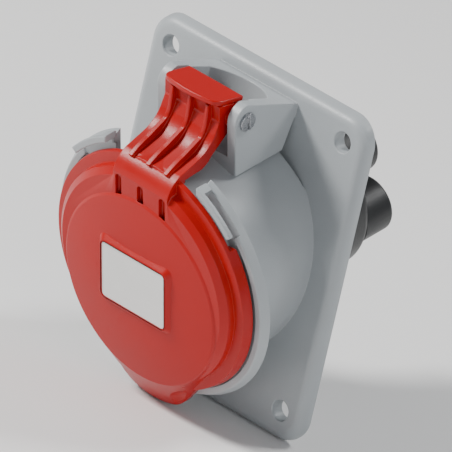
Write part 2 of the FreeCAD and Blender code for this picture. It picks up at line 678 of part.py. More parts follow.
def cut_finger_slots(body):
    half, front, back = "slot_width / 2", "-contact_reach - cut_past", "slot_length - contact_reach"
    flat = new_sketch(body, "flat_slot", "XY_Plane")
    add_path(flat, [(f"-{half}", front), (half, front), (half, back), (f"-{half}", back)])
    extrude(body, "Pocket", flat, "contact_tube * 4", midplane=True)
    upright = new_sketch(body, "upright_slot", "YZ_Plane")
    add_path(upright, [(front, f"-{half}"), (back, f"-{half}"), (back, half), (front, half)])
    extrude(body, "Pocket", upright, "contact_tube * 4", midplane=True)


def at_pole(thing, angle):
    bind(thing, "Placement.Base.x", f"pin_circle * cos({angle})")
    bind(thing, "Placement.Base.y", f"-flange_thick - pin_circle * sin({angle}) * sin(tilt)")
    bind(thing, "Placement.Base.z", f"pin_circle * sin({angle}) * cos(tilt)")


def add_part(kind, name, **sizes):
    """A Part primitive with its sizes bound to the sheet."""
    thing = doc.addObject(f"Part::{kind}", name)
    for key, text in sizes.items():
        bind(thing, key, text)
    return thing


def as_node(thing, name, tilted=True):
    thing.Label = name
    nodes.append(thing)
    if tilted:
        on_axis(thing)


def build_terminal_screws():
    """Five slotted screws, each radial at its pole."""
    screws = []
    for name, angle in POLES:
        tube = pole_radius(name, "contact_tube", "earth_tube")
        under = f"pin_circle + {tube}"
        shank = add_part("Cylinder", f"shank_{name}", Radius="screw_radius", Height=f"{tube} - screw_tip")
        head = add_part("Cylinder", f"head_{name}", Radius="screw_head", Height="head_thick")
        driver = add_part("Box", f"driver_{name}", Length="screw_head * 3", Width="slot_width",
                          Height="head_thick")
        set_radial(shank, angle, "pin_circle + screw_tip")
        set_radial(head, angle, under)
        set_radial(driver, angle, f"{under} + head_thick - slot_deep", "screw_head * 1.5", "slot_width / 2")
        solid = doc.addObject("Part::Fuse", f"solid_{name}")
        solid.Base, solid.Tool = shank, head
        screw = doc.addObject("Part::Cut", f"screw_{name}")
        screw.Base, screw.Tool = solid, driver
        screws.append(screw)
    group = doc.addObject("Part::Compound", "screw_set")
    group.Links = screws
    as_node(group, "terminal_screws")


def set_radial(piece, angle, radius, aside="0", forward="0"):
    """Stand a primitive on the radius at an angle, at the depth of the terminal screws."""
    piece.Placement = FreeCAD.Placement(
        FreeCAD.Vector(), FreeCAD.Rotation(FreeCAD.Vector(0, 1, 0), 90 - angle))
    bind(piece, "Placement.Base.x", f"({radius}) * cos({angle}) - ({aside}) * sin({angle})")
    bind(piece, "Placement.Base.z", f"({radius}) * sin({angle}) + ({aside}) * cos({angle})")
    bind(piece, "Placement.Base.y", f"screw_depth - {forward}")


def build_contact_springs():
    """A garter ring round the fingers of each contact."""
    rings = []
    for name, angle in POLES:
        tube = pole_radius(name, "contact_tube", "earth_tube")
        ring = add_part("Torus", f"garter_{name}", Radius1=f"{tube} - garter_wire / 2",
                        Radius2="garter_wire / 2 - garter_ease")
        ring.Placement = FreeCAD.Placement(
            FreeCAD.Vector(), FreeCAD.Rotation(FreeCAD.Vector(1, 0, 0), 90))
        bind(ring, "Placement.Base.x", f"pin_circle * cos({angle})")
        bind(ring, "Placement.Base.z", f"pin_circle * sin({angle})")
        bind(ring, "Placement.Base.y", "spring_front + garter_wire")
        rings.append(ring)
    group = doc.addObject("Part::Compound", "garter_set")
    group.Links = rings
    as_node(group, "contact_springs")


def build_ring(name, inner, outer, front, back):
    """A flat ring about the socket axis, between two depths."""
    body = new_body(name)
    profile = new_sketch(body, "profile", "YZ_Plane")
    add_path(profile, [(front, inner), (front, outer), (back, outer), (back, inner)])
    turned(body, "Revolution", profile)


def build_middle_screw():
    body = new_body("middle_screw")
    profile = new_sketch(body, "profile", "YZ_Plane")
    end, rim = "base_back - slot_deep", "recess_radius - screw_room"
    add_path(profile, [
        ("tip_room", "0"), ("tip_room", "screw_radius"), ("recess_floor", "screw_radius"),
        ("recess_floor", rim), (end, rim), (end, "0")])
    turned(body, "Revolution", profile)
    slot = new_sketch(body, "driver_slot", "YZ_Plane")
    half = "slot_width / 2"
    low = f"{end} - slot_deep"
    add_path(slot, [(low, f"-{half}"), ("base_back", f"-{half}"), ("base_back", half), (low, half)])
    extrude(body, "Pocket", slot, "screw_head * 4", midplane=True)


def build_gasket():
    body = new_body("flange_gasket", tilted=False)
    outline = new_sketch(body, "gasket_outline", "XZ_Plane")
    gasket_outline(outline)
    extrude(body, "Pad", outline, "gasket_thick")


# Lid: a domed cup with a nose, and an arm with three ribs up to the hinge

def build_lid():
    body = new_body("lid")
    add_cup(body)
    add_dome(body)
    add_nose(body)
    add_arm(body)
    add_label_frame(body)
    cut_grooves(body)
    hollow_lid(body)
    shape_knuckles(body)


def add_cup(body):
    outside = new_sketch(body, "cup", "YZ_Plane")
    add_path(outside, [
        ("-lid_plane", "0"), ("-lid_plane", "lid_face"), ("lid_bevel - lid_plane", "lid_wall - side_draft"),
        ("-lid_terrace - side_draft", "lid_wall"), ("-lid_terrace", "lid_rim - rim_draft"),
        ("-lid_back", "lid_rim"), ("-lid_back", "0")])
    turned(body, "Revolution", outside)


def add_dome(body):
    dome = new_sketch(body, "dome", "YZ_Plane")
    bind(dome, "AttachmentOffset.Base.y", "-dome_drop")
    rise = "(dome_rise - dome_step)"
    cap = f"(dome_radius^2 + {rise}^2) / (2 * {rise})"
    foot = "dome_step - lid_plane"
    add_path(dome, [
        ("-lid_plane - dome_rise", "0", cap, 1), (foot, "0"), (foot, "dome_radius"),
        ("-dome_edge", "dome_radius")])
    turned(body, "Revolution", dome)


def add_nose(body):
    """The chin runs from the foot of the dome down and back to the nose."""
    front = new_sketch(body, "chin_front", "XZ_Plane", "-dome_edge")
    add_path(front, chin_foot())
    back = new_sketch(body, "chin_back", "XZ_Plane", "-nose_reach")
    lip = new_sketch(body, "nose_lip", "XZ_Plane", "-nose_reach")
    for sketch in (back, lip):
        add_path(sketch, nose_outline())
    chin = body.newObject("PartDesign::AdditiveLoft", "chin")
    chin.Profile = front
    chin.Sections = [back]
    chin.Ruled = True
    doc.recompute()
    extrude(body, "Pad", lip, "nose_reach - lid_back", backward=True)


def chin_foot():
    """The edge of the dome as arcs, with a corner wherever the nose outline has one."""
    corners = []
    soft = "chin_end - chin_soft"
    for mirror, angle in (("", "chin_end"), ("", soft), ("", "flank_end"), ("", "-90"),
                          ("-", "flank_end"), ("-", soft), ("-", "chin_end")):
        across = f"{mirror}dome_radius * cos({angle})"
        upward = f"-dome_radius * sin({angle}) - dome_drop"
        corners.append((across, upward, "dome_radius", 1))
    return corners


def nose_outline():
    """The lid side above, two flanks, rounded corners and the slightly curved end of the nose."""
    tip_curve = "((nose_half^2 + nose_curve^2) / (2 * nose_curve))"
    end_half = "(nose_half - nose_soft)"
    end = f"{tip_curve} - nose_drop - sqrt({tip_curve}^2 - {end_half}^2)"
    flank = "(lid_wall * cos(flank_end))", "(-lid_wall * sin(flank_end))"
    corner = "(nose_curve - nose_drop)"
    across = f"nose_half + ({flank[0]} - nose_half) * nose_blend"
    upward = f"{corner} + ({flank[1]} - {corner}) * nose_blend"
    return [
        (end_half, end, tip_curve, 1), (across, upward, "nose_round", 1), flank,
        ("0", "lid_wall", "lid_wall", 1), (f"-{flank[0]}", flank[1], "lid_wall", 1),
        (f"-({across})", upward), (f"-{end_half}", end, "nose_round", 1)]


def add_arm(body):
    heel = "heel_back - lid_plane", "lid_face + heel_rise"
    bend = "bend_back - lid_plane", "lid_face + bend_rise"
    sweep = "-hinge_reach - sweep_nose", "hinge_height - sweep_fall"
    inside = "lid_face - lid_shell * 3"
    side = new_sketch(body, "arm_side", "YZ_Plane")
    add_path(side, [
        ("-lid_plane", inside), ("-lid_plane", "lid_face"), heel + ("heel_curve", -1), bend,
        sweep + ("sweep_curve", 1), ("-arm_front", "hinge_height"), ("-arm_front", "arm_top"),
        ("-hinge_reach", "arm_top - arm_nose * tan(plate_fall)"),
        ("-hinge_reach", "hinge_height - pin_radius - barrel_wall / 2"),
        ("-hinge_reach - knee_nose", "hinge_height - knee_fall"),
        (f"{bend[0]} + arm_wall", f"{bend[1]} - arm_wall * 3 / 2", "sweep_curve * 2 / 3", -1),
        (heel[0], f"{heel[1]} - arm_wall"), ("-lid_terrace", inside)])
    extrude(body, "Pad", side, "arm_half * 2", midplane=True)
    add_ribs(body, heel, bend, sweep)


def add_ribs(body, heel, bend, sweep):
    """Three ribs that follow the arm from the heel to the thumb plate."""
    nose, top = "-arm_front - rib_high", "arm_top - rib_drop"
    side = new_sketch(body, "rib_side", "YZ_Plane", "-rib_pitch")
    add_path(side, [
        (f"{heel[0]} - rib_high", heel[1]),
        (f"{bend[0]} - rib_high * rib_share", f"{bend[1]} + rib_high / 2", "rib_curve", -1),
        (f"{sweep[0]} - rib_high", f"{sweep[1]} - rib_high * rib_slim"),
        (nose, "hinge_height - rib_high * rib_share", "sweep_curve * 2 / 3", 1),
        (f"{nose} + rib_high / 2", top), ("-arm_front", top), ("-arm_front", f"{sweep[1]} - arm_wall / 2"),
        (f"{bend[0]} - arm_wall / 2", f"{bend[1]} - arm_wall"),
        (f"{heel[0]} - rib_high * rib_slim", f"{heel[1]} - arm_wall * rib_slim")])
    rib = extrude(body, "Pad", side, "rib_width", midplane=True)
    repeat = body.newObject("PartDesign::LinearPattern", "three_ribs")
    repeat.Originals = [rib]
    repeat.Direction = (origin_plane(body, "X_Axis"), [""])
    bind(repeat, "Length", "rib_pitch * 2")
    repeat.Occurrences = 3
    body.Tip = repeat
    doc.recompute()


def add_label_frame(body):
    foot = new_sketch(body, "frame_foot", "XZ_Plane", "-lid_plane")
    top = new_sketch(body, "frame_top", "XZ_Plane", "-label_reach")
    recess = new_sketch(body, "label_recess", "XZ_Plane", "-label_reach")
    wide, high = "label_width / 2", "label_height / 2"
    grow = "label_bevel * 2"
    add_path(foot, rounded_box(f"{wide} + {grow}", f"{high} + {grow}", grow, "label_drop"))
    add_path(top, rounded_box(f"{wide} + label_rim", f"{high} + label_rim", "label_corner", "label_drop"))
    add_path(recess, rounded_box(wide, high, "label_corner", "label_drop"))
    frame = body.newObject("PartDesign::AdditiveLoft", "label_frame")
    frame.Profile = foot
    frame.Sections = [top]
    frame.Ruled = True
    doc.recompute()
    extrude(body, "Pocket", recess, "label_deep")


def cut_grooves(body):
    """Three upright grooves with round tops, from the dome up to the foot of the arm."""
    grooves = new_sketch(body, "grooves", "XZ_Plane", "-lid_plane")
    half = "groove_width / 2"
    low, high = "dome_radius - dome_drop - groove_width", f"lid_face - groove_end - {half}"
    for place in ("-groove_pitch", "0", "groove_pitch"):
        left, right = f"{place} - {half}", f"{place} + {half}"
        add_path(grooves, [(left, low), (right, low), (right, high), (left, high, "groove_curve", 1)])
    extrude(body, "Pocket", grooves, "groove_deep")


def hollow_lid(body):
    inside = new_sketch(body, "inside", "YZ_Plane")
    bore, rim = "lid_wall - lid_shell", "lid_rim - lid_shell"
    add_path(inside, [
        ("lid_shell - lid_plane", "0"), ("lid_shell - lid_plane", bore), ("lid_shell - lid_terrace", bore),
        ("lid_shell - lid_terrace", rim), ("-lid_back", rim), ("-lid_back", "0")])
    turned(body, "Groove", inside)
    relief = new_sketch(body, "rim_relief", "XZ_Plane", "relief_start - lid_terrace")
    edge = "lid_rim + lid_shell"
    for mirror in ("", "-"):
        corners = [(f"{mirror}({edge})", "relief_height"), (f"{mirror}({edge})", edge),
                   (f"{mirror}arm_half", edge), (f"{mirror}arm_half", "relief_height")]
        add_path(relief, corners)
    extrude(body, "Pocket", relief, "lid_terrace")


def shape_knuckles(body):
    """Two round knuckles about the hinge axis, with room for the spring between them."""
    centre = ("-hinge_reach", "hinge_height")
    ends = new_sketch(body, "knuckles", "YZ_Plane")
    add_circle(ends, *centre, "barrel_radius")
    extrude(body, "Pad", ends, "barrel_out * 2", midplane=True)
    room = new_sketch(body, "spring_room", "YZ_Plane")
    add_circle(room, *centre, "barrel_radius + lid_gap")
    extrude(body, "Pocket", room, "barrel_in * 2", midplane=True)
    bore = new_sketch(body, "pin_bore", "YZ_Plane")
    add_circle(bore, *centre, "pin_radius + run_gap")
    extrude(body, "Pocket", bore, "barrel_out * 3", midplane=True)


def build_thumb_plate():
    """A sloping plate with a bowed front edge and rounded front corners."""
    body = new_body("thumb_plate")
    outline = new_sketch(body, "plate_outline", "XY_Plane")
    slope = FreeCAD.Rotation(FreeCAD.Vector(-1, 0, 0), number("plate_fall"))
    outline.AttachmentOffset = FreeCAD.Placement(FreeCAD.Vector(), slope)
    bind(outline, "AttachmentOffset.Rotation.Angle", "plate_fall")
    bind(outline, "AttachmentOffset.Base.y", "-arm_front")
    bind(outline, "AttachmentOffset.Base.z", "arm_top")
    bow = "(arm_half^2 + plate_bow^2) / (2 * plate_bow)"
    add_path(outline, [
        ("-arm_half", "plate_deep"), ("-arm_half", "-plate_lip"), ("arm_half", "-plate_lip", bow, 1),
        ("arm_half", "plate_deep")])
    plate = extrude(body, "Pad", outline, "plate_thick")
    front = -number("arm_front")
    half = number("arm_half")
    rounded(body, plate, "plate_corner", lambda edge: is_front_corner(edge, half, front))


def is_front_corner(edge, half, front):
    """Whether an edge stands at a front corner of the thumb plate."""
    at_side = abs(abs(edge.CenterOfMass.x) - half) < NEAR
    return at_side and all(v.Y < front for v in edge.Vertexes)


def build_label():
    body = new_body("label_inlay")
    face = new_sketch(body, "face", "XZ_Plane", "label_deep - label_reach")
    add_path(face, rounded_box("label_width / 2", "label_height / 2", "label_corner", "label_drop"))
    extrude(body, "Pad", face, "label_thick")


def build_pin():
    """The hinge pin with its slotted head on the right cheek, and the washer on the left."""
    centre = ("-hinge_reach", "hinge_height")
    body = new_body("hinge_pin")
    pin = new_sketch(body, "shank", "YZ_Plane", "block_half")
    add_circle(pin, *centre, "pin_radius")
    extrude(body, "Pad", pin, "block_half * 2 + pin_end", backward=True)
    head = new_sketch(body, "head", "YZ_Plane", "block_half")
    add_circle(head, *centre, "pin_head")
    extrude(body, "Pad", head, "pin_head_thick")
    slot = new_sketch(body, "driver_slot", "YZ_Plane", "block_half + pin_head_thick")
    left, right = "-hinge_reach - slot_width / 2", "slot_width / 2 - hinge_reach"
    low, high = "hinge_height - pin_head * 1.5", "hinge_height + pin_head * 1.5"
    add_path(slot, [(left, low), (right, low), (right, high), (left, high)])
    extrude(body, "Pocket", slot, "slot_deep")
    washer = new_body("pin_washer")
    ring = new_sketch(washer, "ring", "YZ_Plane", "-block_half")
    add_circle(ring, *centre, "pin_head")
    add_circle(ring, *centre, "pin_radius")
    extrude(washer, "Pad", ring, "washer_thick", backward=True)


def build_hinge_spring():
    """A torsion spring: coils round the pin, a leg under the thumb plate and one on the floor."""
    coil, wire = number("spring_coil"), number("spring_wire")
    pitch, quarter = wire * 2 + number("spring_gap"), 1 / 4
    length = pitch * (round(number("spring_turns")) + quarter)
    drop = number("hinge_height - block_floor") - wire
    upper, start = FreeCAD.Vector(coil, -number("spring_leg"), 0), FreeCAD.Vector(coil, 0, 0)
    end, lower = FreeCAD.Vector(0, coil, length), FreeCAD.Vector(-drop, coil, length)
    helix = Part.makeHelix(pitch, length, coil)
    path = Part.Wire([Part.makeLine(upper, start)] + helix.Edges + [Part.makeLine(end, lower)])
    ring = Part.Wire(Part.makeCircle(wire, upper, FreeCAD.Vector(0, 1, 0)))
    spring = doc.addObject("Part::Feature", "hinge_spring")
    spring.Shape = path.makePipeShell([ring], True, True)
    across = FreeCAD.Placement(
        FreeCAD.Vector(length / 2, -number("hinge_reach"), number("hinge_height")),
        FreeCAD.Rotation(FreeCAD.Vector(0, 1, 0), -90))
    tilted = FreeCAD.Placement(
        FreeCAD.Vector(0, -number("flange_thick"), 0),
        FreeCAD.Rotation(FreeCAD.Vector(1, 0, 0), number("tilt")))
    spring.Placement = tilted * across
    as_node(spring, "hinge_spring", tilted=False)


# Build, check and export

def failed(thing):
    return "Invalid" in thing.State or "Error" in thing.State


def check_model():
    bad = [thing.Name for thing in doc.Objects if failed(thing)]
    for node in nodes:
        if node.Shape.isNull() or not node.Shape.isValid():
            bad.append(node.Label)
    if bad:
        raise RuntimeError("not built: " + ", ".join(bad))


build_housing()
build_gasket()
build_insert()
build_ring("seat_seal", "disc_radius - seal_lip", "skirt_bore", "seal_front", "seal_back")
build_ring("retaining_ring", "base_radius + ring_gap", "skirt_bore", "disc_back", "ring_back")
build_terminal_base()
build_middle_screw()
for pole, pole_angle in POLES:
    build_contact(pole, pole_angle)
build_contact_springs()
build_terminal_screws()
build_lid()
build_ring("lid_seal", "mouth_radius + seal_gap", "rim_radius - seal_gap", "lid_shell - lid_plane",
           "-mouth_reach - seal_clear")
build_label()
build_thumb_plate()
build_pin()
build_hinge_spring()
doc.recompute()
check_model()
os.makedirs("parts", exist_ok=True)
for node in nodes:
    node.Shape.exportStep(f"parts/{node.Label}.step")
    print(node.Label, len(node.Shape.Solids), round(node.Shape.Volume, 1))
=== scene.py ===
# %% [markdown]
# # A panel mounted industrial socket
#
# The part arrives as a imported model: every moulding, screw and contact already has its real
# size and place. This lesson dresses it. The solids could be shown as they are, but moulded
# plastic gets its look from small roundings, a fine spark-eroded grain and soft light, so the
# cells below add those, one piece or finish at a time.

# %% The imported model
import json
import math
import bmesh
import bpy
import numpy as np
from mathutils import Matrix, Vector
from mathutils.bvhtree import BVHTree
from mathutils.interpolate import poly_3d_calc

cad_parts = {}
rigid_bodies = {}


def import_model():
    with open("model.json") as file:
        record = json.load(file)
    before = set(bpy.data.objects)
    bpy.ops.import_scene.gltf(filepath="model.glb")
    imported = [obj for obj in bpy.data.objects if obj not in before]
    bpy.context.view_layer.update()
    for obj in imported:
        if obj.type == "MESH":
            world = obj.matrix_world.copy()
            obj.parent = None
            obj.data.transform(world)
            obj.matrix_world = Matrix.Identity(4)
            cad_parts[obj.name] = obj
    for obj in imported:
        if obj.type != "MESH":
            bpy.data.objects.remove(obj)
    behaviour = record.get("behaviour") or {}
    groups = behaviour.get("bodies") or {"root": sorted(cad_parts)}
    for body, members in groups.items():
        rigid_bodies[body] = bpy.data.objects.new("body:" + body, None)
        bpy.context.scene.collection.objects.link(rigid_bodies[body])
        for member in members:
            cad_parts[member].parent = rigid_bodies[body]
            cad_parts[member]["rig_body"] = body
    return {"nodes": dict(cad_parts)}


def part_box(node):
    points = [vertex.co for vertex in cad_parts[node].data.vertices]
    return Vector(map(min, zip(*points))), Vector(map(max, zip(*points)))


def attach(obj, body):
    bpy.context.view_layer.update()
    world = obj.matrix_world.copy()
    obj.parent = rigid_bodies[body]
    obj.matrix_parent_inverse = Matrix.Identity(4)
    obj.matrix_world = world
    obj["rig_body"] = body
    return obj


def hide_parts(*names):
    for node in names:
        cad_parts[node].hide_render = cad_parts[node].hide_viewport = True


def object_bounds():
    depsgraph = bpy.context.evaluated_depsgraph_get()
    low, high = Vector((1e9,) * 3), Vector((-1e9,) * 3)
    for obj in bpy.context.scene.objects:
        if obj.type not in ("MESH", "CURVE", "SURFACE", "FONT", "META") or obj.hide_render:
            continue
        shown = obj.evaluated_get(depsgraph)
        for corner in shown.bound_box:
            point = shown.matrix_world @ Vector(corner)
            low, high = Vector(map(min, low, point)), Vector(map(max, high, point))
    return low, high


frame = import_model()
cad_box = [list(corner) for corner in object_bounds()]
nodes = frame["nodes"]
print("pieces in the packed model:", len(nodes))

# %% [markdown]
# ## Two sets of axes
#
# The flange lies on the panel, but the mouth points 17 degrees down, so that a heavy plug
# hangs away from the panel. Most pieces are round about that tilted axis. It is easiest to
# work in axes that follow the socket and to turn each point into the model's own axes last.

# %% Socket axes
MM = 0.001
TILT = math.radians(17)
FLANGE = 0.0043
SOCKET = Matrix.Translation((0, -FLANGE, 0)) @ Matrix.Rotation(TILT, 4, "X")
SOCKET_TURN = SOCKET.to_3x3()


def at(across, along, up):
    """A point in socket axes, in millimetres, as a point of the model in metres."""
    return SOCKET @ Vector((across * MM, along * MM, up * MM))


AXIS = SOCKET_TURN @ Vector((0, 1, 0))
UP = SOCKET_TURN @ Vector((0, 0, 1))
HINGE_ALONG, HINGE_UP = -7.3, 48.9
PIN_CIRCLE = 16.5
CONTACTS = ("contact_l1", "contact_l2", "contact_l3", "contact_neutral", "contact_earth")
print("the socket axis points along", [round(v, 3) for v in -AXIS])

# %% [markdown]
# ## The camera
#
# The picture is an isometric view taken in line with the socket axis: right side, top and
# mouth are seen equally. An orthographic camera would do, but a very long lens gives nearly
# the same picture and keeps its framing when the view is turned, so a long lens it is. An
# isometric view shortens each axis by the root of two thirds, which gives the frame's width.

# %% Camera
PICTURE_PIXELS = 452
AXIS_PER_PIXEL = 0.3543 * MM
PIXEL = AXIS_PER_PIXEL * math.sqrt(2 / 3)
FRAME_WIDTH = PICTURE_PIXELS * PIXEL
LENS = 1000.0
SENSOR = 36.0
TARGET = at(7.09, -6.75, 7.51)


def look(camera, away, upward, target, distance):
    """Aim a camera at a target from a direction, with its own upward direction."""
    back = away.normalized()
    right = upward.cross(back).normalized()
    turn = Matrix((right, back.cross(right), back)).transposed().to_4x4()
    camera.matrix_world = Matrix.Translation(target + back * distance) @ turn


lens = bpy.data.cameras.new("picture_camera")
lens.lens = LENS
lens.sensor_width = SENSOR
camera = bpy.data.objects.new("picture_camera", lens)
bpy.context.scene.collection.objects.link(camera)
bpy.context.scene.camera = camera
distance = FRAME_WIDTH * LENS / SENSOR
look(camera, SOCKET_TURN @ Vector((1, -1, 1)), UP, TARGET, distance)
lens.clip_end = distance * 3
print("camera distance", round(distance, 2), "m")

# %% [markdown]
# ## Floor and light
#
# Small plastic parts are photographed on a pale sweep under large soft boxes. A big key from
# the left shapes the dome and the ribs, a weaker fill opens the right side, and a light from
# behind draws the edges. The floor is far larger than the picture, so no horizon shows.

# %% Floor and lights
FLOOR = min(corner[2] for corner in cad_box) - 0.5 * MM
FLOOR_REACH = 6.0


def pale_floor():
    """One large face just below the part. It belongs to the stage and not to the part."""
    mesh = bpy.data.meshes.new("floor")
    sides = ((-1, -1), (1, -1), (1, 1), (-1, 1))
    corners = [(x * FLOOR_REACH, y * FLOOR_REACH, FLOOR) for x, y in sides]
    mesh.from_pydata(corners, [], [(0, 1, 2, 3)])
    floor = bpy.data.objects.new("floor", mesh)
    bpy.context.scene.collection.objects.link(floor)
    paint = bpy.data.materials.new("pale_floor")
    paint.use_nodes = True
    shader = paint.node_tree.nodes["Principled BSDF"]
    shader.inputs["Base Color"].default_value = (0.84, 0.84, 0.835, 1)
    shader.inputs["Roughness"].default_value = 0.85
    mesh.materials.append(paint)


def soft_box(name, place, size, power, colour=(1, 1, 1)):
    """A round soft light, aimed at the part. Place and size in metres, power in watts."""
    light = bpy.data.lights.new(name, "AREA")
    light.shape = "DISK"
    light.size = size
    light.energy = power
    light.color = colour
    box = bpy.data.objects.new(name, light)
    box.location = place
    box.rotation_mode = "QUATERNION"
    box.rotation_quaternion = (TARGET - Vector(place)).to_track_quat("-Z", "Y")
    bpy.context.scene.collection.objects.link(box)


pale_floor()
soft_box("key_left", (-0.62, -0.55, 0.70), size=0.24, power=16.5, colour=(1.0, 0.985, 0.965))
soft_box("fill_right", (0.85, -0.35, 0.30), size=0.5, power=2.6, colour=(0.97, 0.985, 1.0))
soft_box("edge_behind", (0.35, 0.50, 0.75), size=0.25, power=5.0)
world = bpy.data.worlds.new("studio")
bpy.context.scene.world = world
world.use_nodes = True
sky = world.node_tree.nodes["Background"]
sky.inputs["Color"].default_value = (0.93, 0.95, 1.0, 1)
sky.inputs["Strength"].default_value = 0.22
print("floor at", round(FLOOR / MM, 1), "mm")

# %% [markdown]
# ## Effects that several finishes share
#
# Every moulded piece here has a fine eroded grain, slightly uneven colour and gloss, a few
# faint scuffs, and a painted highlight: edges painted a shade lighter. These are built once as
# node groups with named inputs, so that each material can use them with its own values.


# %% Building node groups
def new_group(name, inputs, outputs):
    """An empty shader group with its named sockets. Inputs are (name, type, value)."""
    group = bpy.data.node_groups.new(name, "ShaderNodeTree")
    for label, kind, value in inputs:
        socket = group.interface.new_socket(label, in_out="INPUT", socket_type=kind)
        if value is not None:
            socket.default_value = value
    for label, kind in outputs:
        group.interface.new_socket(label, in_out="OUTPUT", socket_type=kind)
    return group, group.nodes.new("NodeGroupInput"), group.nodes.new("NodeGroupOutput")


def node(tree, kind, links=None, **settings):
    """Add a node, set its properties, and link or set its inputs."""
    made = tree.nodes.new(kind)
    for key, value in settings.items():
        setattr(made, key, value)
    for key, source in (links or {}).items():
        if isinstance(source, bpy.types.NodeSocket):
            tree.links.new(source, made.inputs[key])
        else:
            made.inputs[key].default_value = source
    return made


def sums(tree, operation, first, second=0.0, **settings):
    """A Math node and its result."""
    made = node(tree, "ShaderNodeMath", {0: first, 1: second}, operation=operation, **settings)
    return made.outputs[0]


# %% Moulded grain
CLOUD_SCALE = 55.0
SCUFF_SCALE = 900.0
GRAIN_HEIGHT = 0.1 * MM
GLOSS_SWING = 1.6


def moulded_grain():
    """Fine eroded texture as a normal, slow unevenness of colour and gloss, and faint scuffs."""
    group, source, result = new_group(
        "moulded_grain",
        [("Colour", "NodeSocketColor", (0.5, 0.5, 0.5, 1)),
         ("Grain size", "NodeSocketFloat", 0.25), ("Depth", "NodeSocketFloat", 0.15),
         ("Unevenness", "NodeSocketFloat", 0.16), ("Gloss", "NodeSocketFloat", 0.4),
         ("Scuffs", "NodeSocketFloat", 0.12), ("Normal", "NodeSocketVector", None)],
        [("Colour", "NodeSocketColor"), ("Roughness", "NodeSocketFloat"),
         ("Normal", "NodeSocketVector")])
    given = source.outputs
    place = node(group, "ShaderNodeTexCoord").outputs["Object"]
    density = sums(group, "DIVIDE", 1 / MM, given["Grain size"])
    fine = node(group, "ShaderNodeTexNoise", {
        "Vector": place, "Scale": density, "Detail": 2.5, "Roughness": 0.6})
    pits = node(group, "ShaderNodeTexVoronoi", {"Vector": place, "Scale": density})
    height = sums(group, "ADD", fine.outputs["Fac"], pits.outputs["Distance"])
    cloud = node(group, "ShaderNodeTexNoise", {
        "Vector": place, "Scale": CLOUD_SCALE, "Detail": 4.0})
    centred = sums(group, "SUBTRACT", cloud.outputs["Fac"], 0.5)
    swing = sums(group, "MULTIPLY", centred, given["Unevenness"])
    tinted = node(group, "ShaderNodeHueSaturation", {
        "Value": sums(group, "ADD", swing, 1.0), "Color": given["Colour"]})
    uneven = sums(group, "MULTIPLY", swing, GLOSS_SWING)
    rough = sums(group, "ADD", given["Gloss"], uneven, use_clamp=True)
    drawn = node(group, "ShaderNodeMapping", {
        "Vector": place, "Rotation": (0.4, 0.9, 0.3), "Scale": (1.0, 0.04, 0.25)})
    lines = node(group, "ShaderNodeTexNoise", {
        "Vector": drawn.outputs[0], "Scale": SCUFF_SCALE, "Detail": 3.0})
    line = node(group, "ShaderNodeMapRange", {
        "Value": lines.outputs["Fac"], "From Min": 0.52, "From Max": 0.75})
    patch = node(group, "ShaderNodeMapRange", {
        "Value": cloud.outputs["Fac"], "From Min": 0.35, "From Max": 0.75})
    scuff = sums(group, "MULTIPLY", line.outputs[0], patch.outputs[0])
    dulled = sums(group, "MULTIPLY", scuff, given["Scuffs"])
    rougher = sums(group, "ADD", rough, dulled, use_clamp=True)
    bump = node(group, "ShaderNodeBump", {
        "Strength": given["Depth"], "Distance": GRAIN_HEIGHT, "Height": height,
        "Normal": given["Normal"]})
    group.links.new(tinted.outputs["Color"], result.inputs["Colour"])
    group.links.new(rougher, result.inputs["Roughness"])
    group.links.new(bump.outputs["Normal"], result.inputs["Normal"])
    return group


# %% Soft edges
def soft_edges():
    """Edges rounded in the shading, and a mask that is bright where an edge is near."""
    group, source, result = new_group(
        "soft_edges", [("Width", "NodeSocketFloat", 0.0003)],
        [("Normal", "NodeSocketVector"), ("Edge", "NodeSocketFloat")])
    rounded = node(group, "ShaderNodeBevel", {"Radius": source.outputs["Width"]}, samples=6)
    flat = node(group, "ShaderNodeNewGeometry").outputs["Normal"]
    match = node(group, "ShaderNodeVectorMath", {0: rounded.outputs[0], 1: flat},
                 operation="DOT_PRODUCT")
    mask = node(group, "ShaderNodeMapRange", {
        "Value": match.outputs["Value"], "From Min": 1.0, "From Max": 0.75,
        "To Min": 0.0, "To Max": 1.0})
    group.links.new(rounded.outputs[0], result.inputs["Normal"])
    group.links.new(mask.outputs[0], result.inputs["Edge"])
    return group


GRAIN = moulded_grain()
EDGES = soft_edges()
print("shared effects:", GRAIN.name, "and", EDGES.name)

# %% [markdown]
# ## Finishes
#
# Housing and lid are glass-filled nylon: satin, with the grain above and a painted highlight:
# every edge painted a shade lighter. The insert is a harder black resin. Turned brass and
# wound wire have fine marks that run round the part, and zinc plating has an even fine
# speckle. Flat colours would be simpler, but they make every piece look like new clay.


# %% Plastic and rubber
def plastic(name, colour, gloss, size, depth, edge, painted_edge_highlight, shine=0.5):
    """A moulded finish with a painted highlight on its edges. Grain size and edge width are in
    millimetres.
    """
    made = bpy.data.materials.new(name)
    made.use_nodes = True
    tree = made.node_tree
    shader = tree.nodes["Principled BSDF"]
    edges = node(tree, "ShaderNodeGroup", {"Width": edge * MM}, node_tree=EDGES)
    grain = node(tree, "ShaderNodeGroup", {
        "Colour": (*colour, 1), "Grain size": size, "Depth": depth, "Gloss": gloss,
        "Normal": edges.outputs["Normal"]}, node_tree=GRAIN)
    # Painted highlight: a lighter colour is mixed in wherever an edge is near.
    edge_highlighted = node(tree, "ShaderNodeMix", {
        "Factor": edges.outputs["Edge"], 6: grain.outputs["Colour"], 7: (*painted_edge_highlight, 1)},
        data_type="RGBA")
    tree.links.new(edge_highlighted.outputs[2], shader.inputs["Base Color"])
    tree.links.new(grain.outputs["Roughness"], shader.inputs["Roughness"])
    tree.links.new(grain.outputs["Normal"], shader.inputs["Normal"])
    shader.inputs["Specular IOR Level"].default_value = shine
    return made
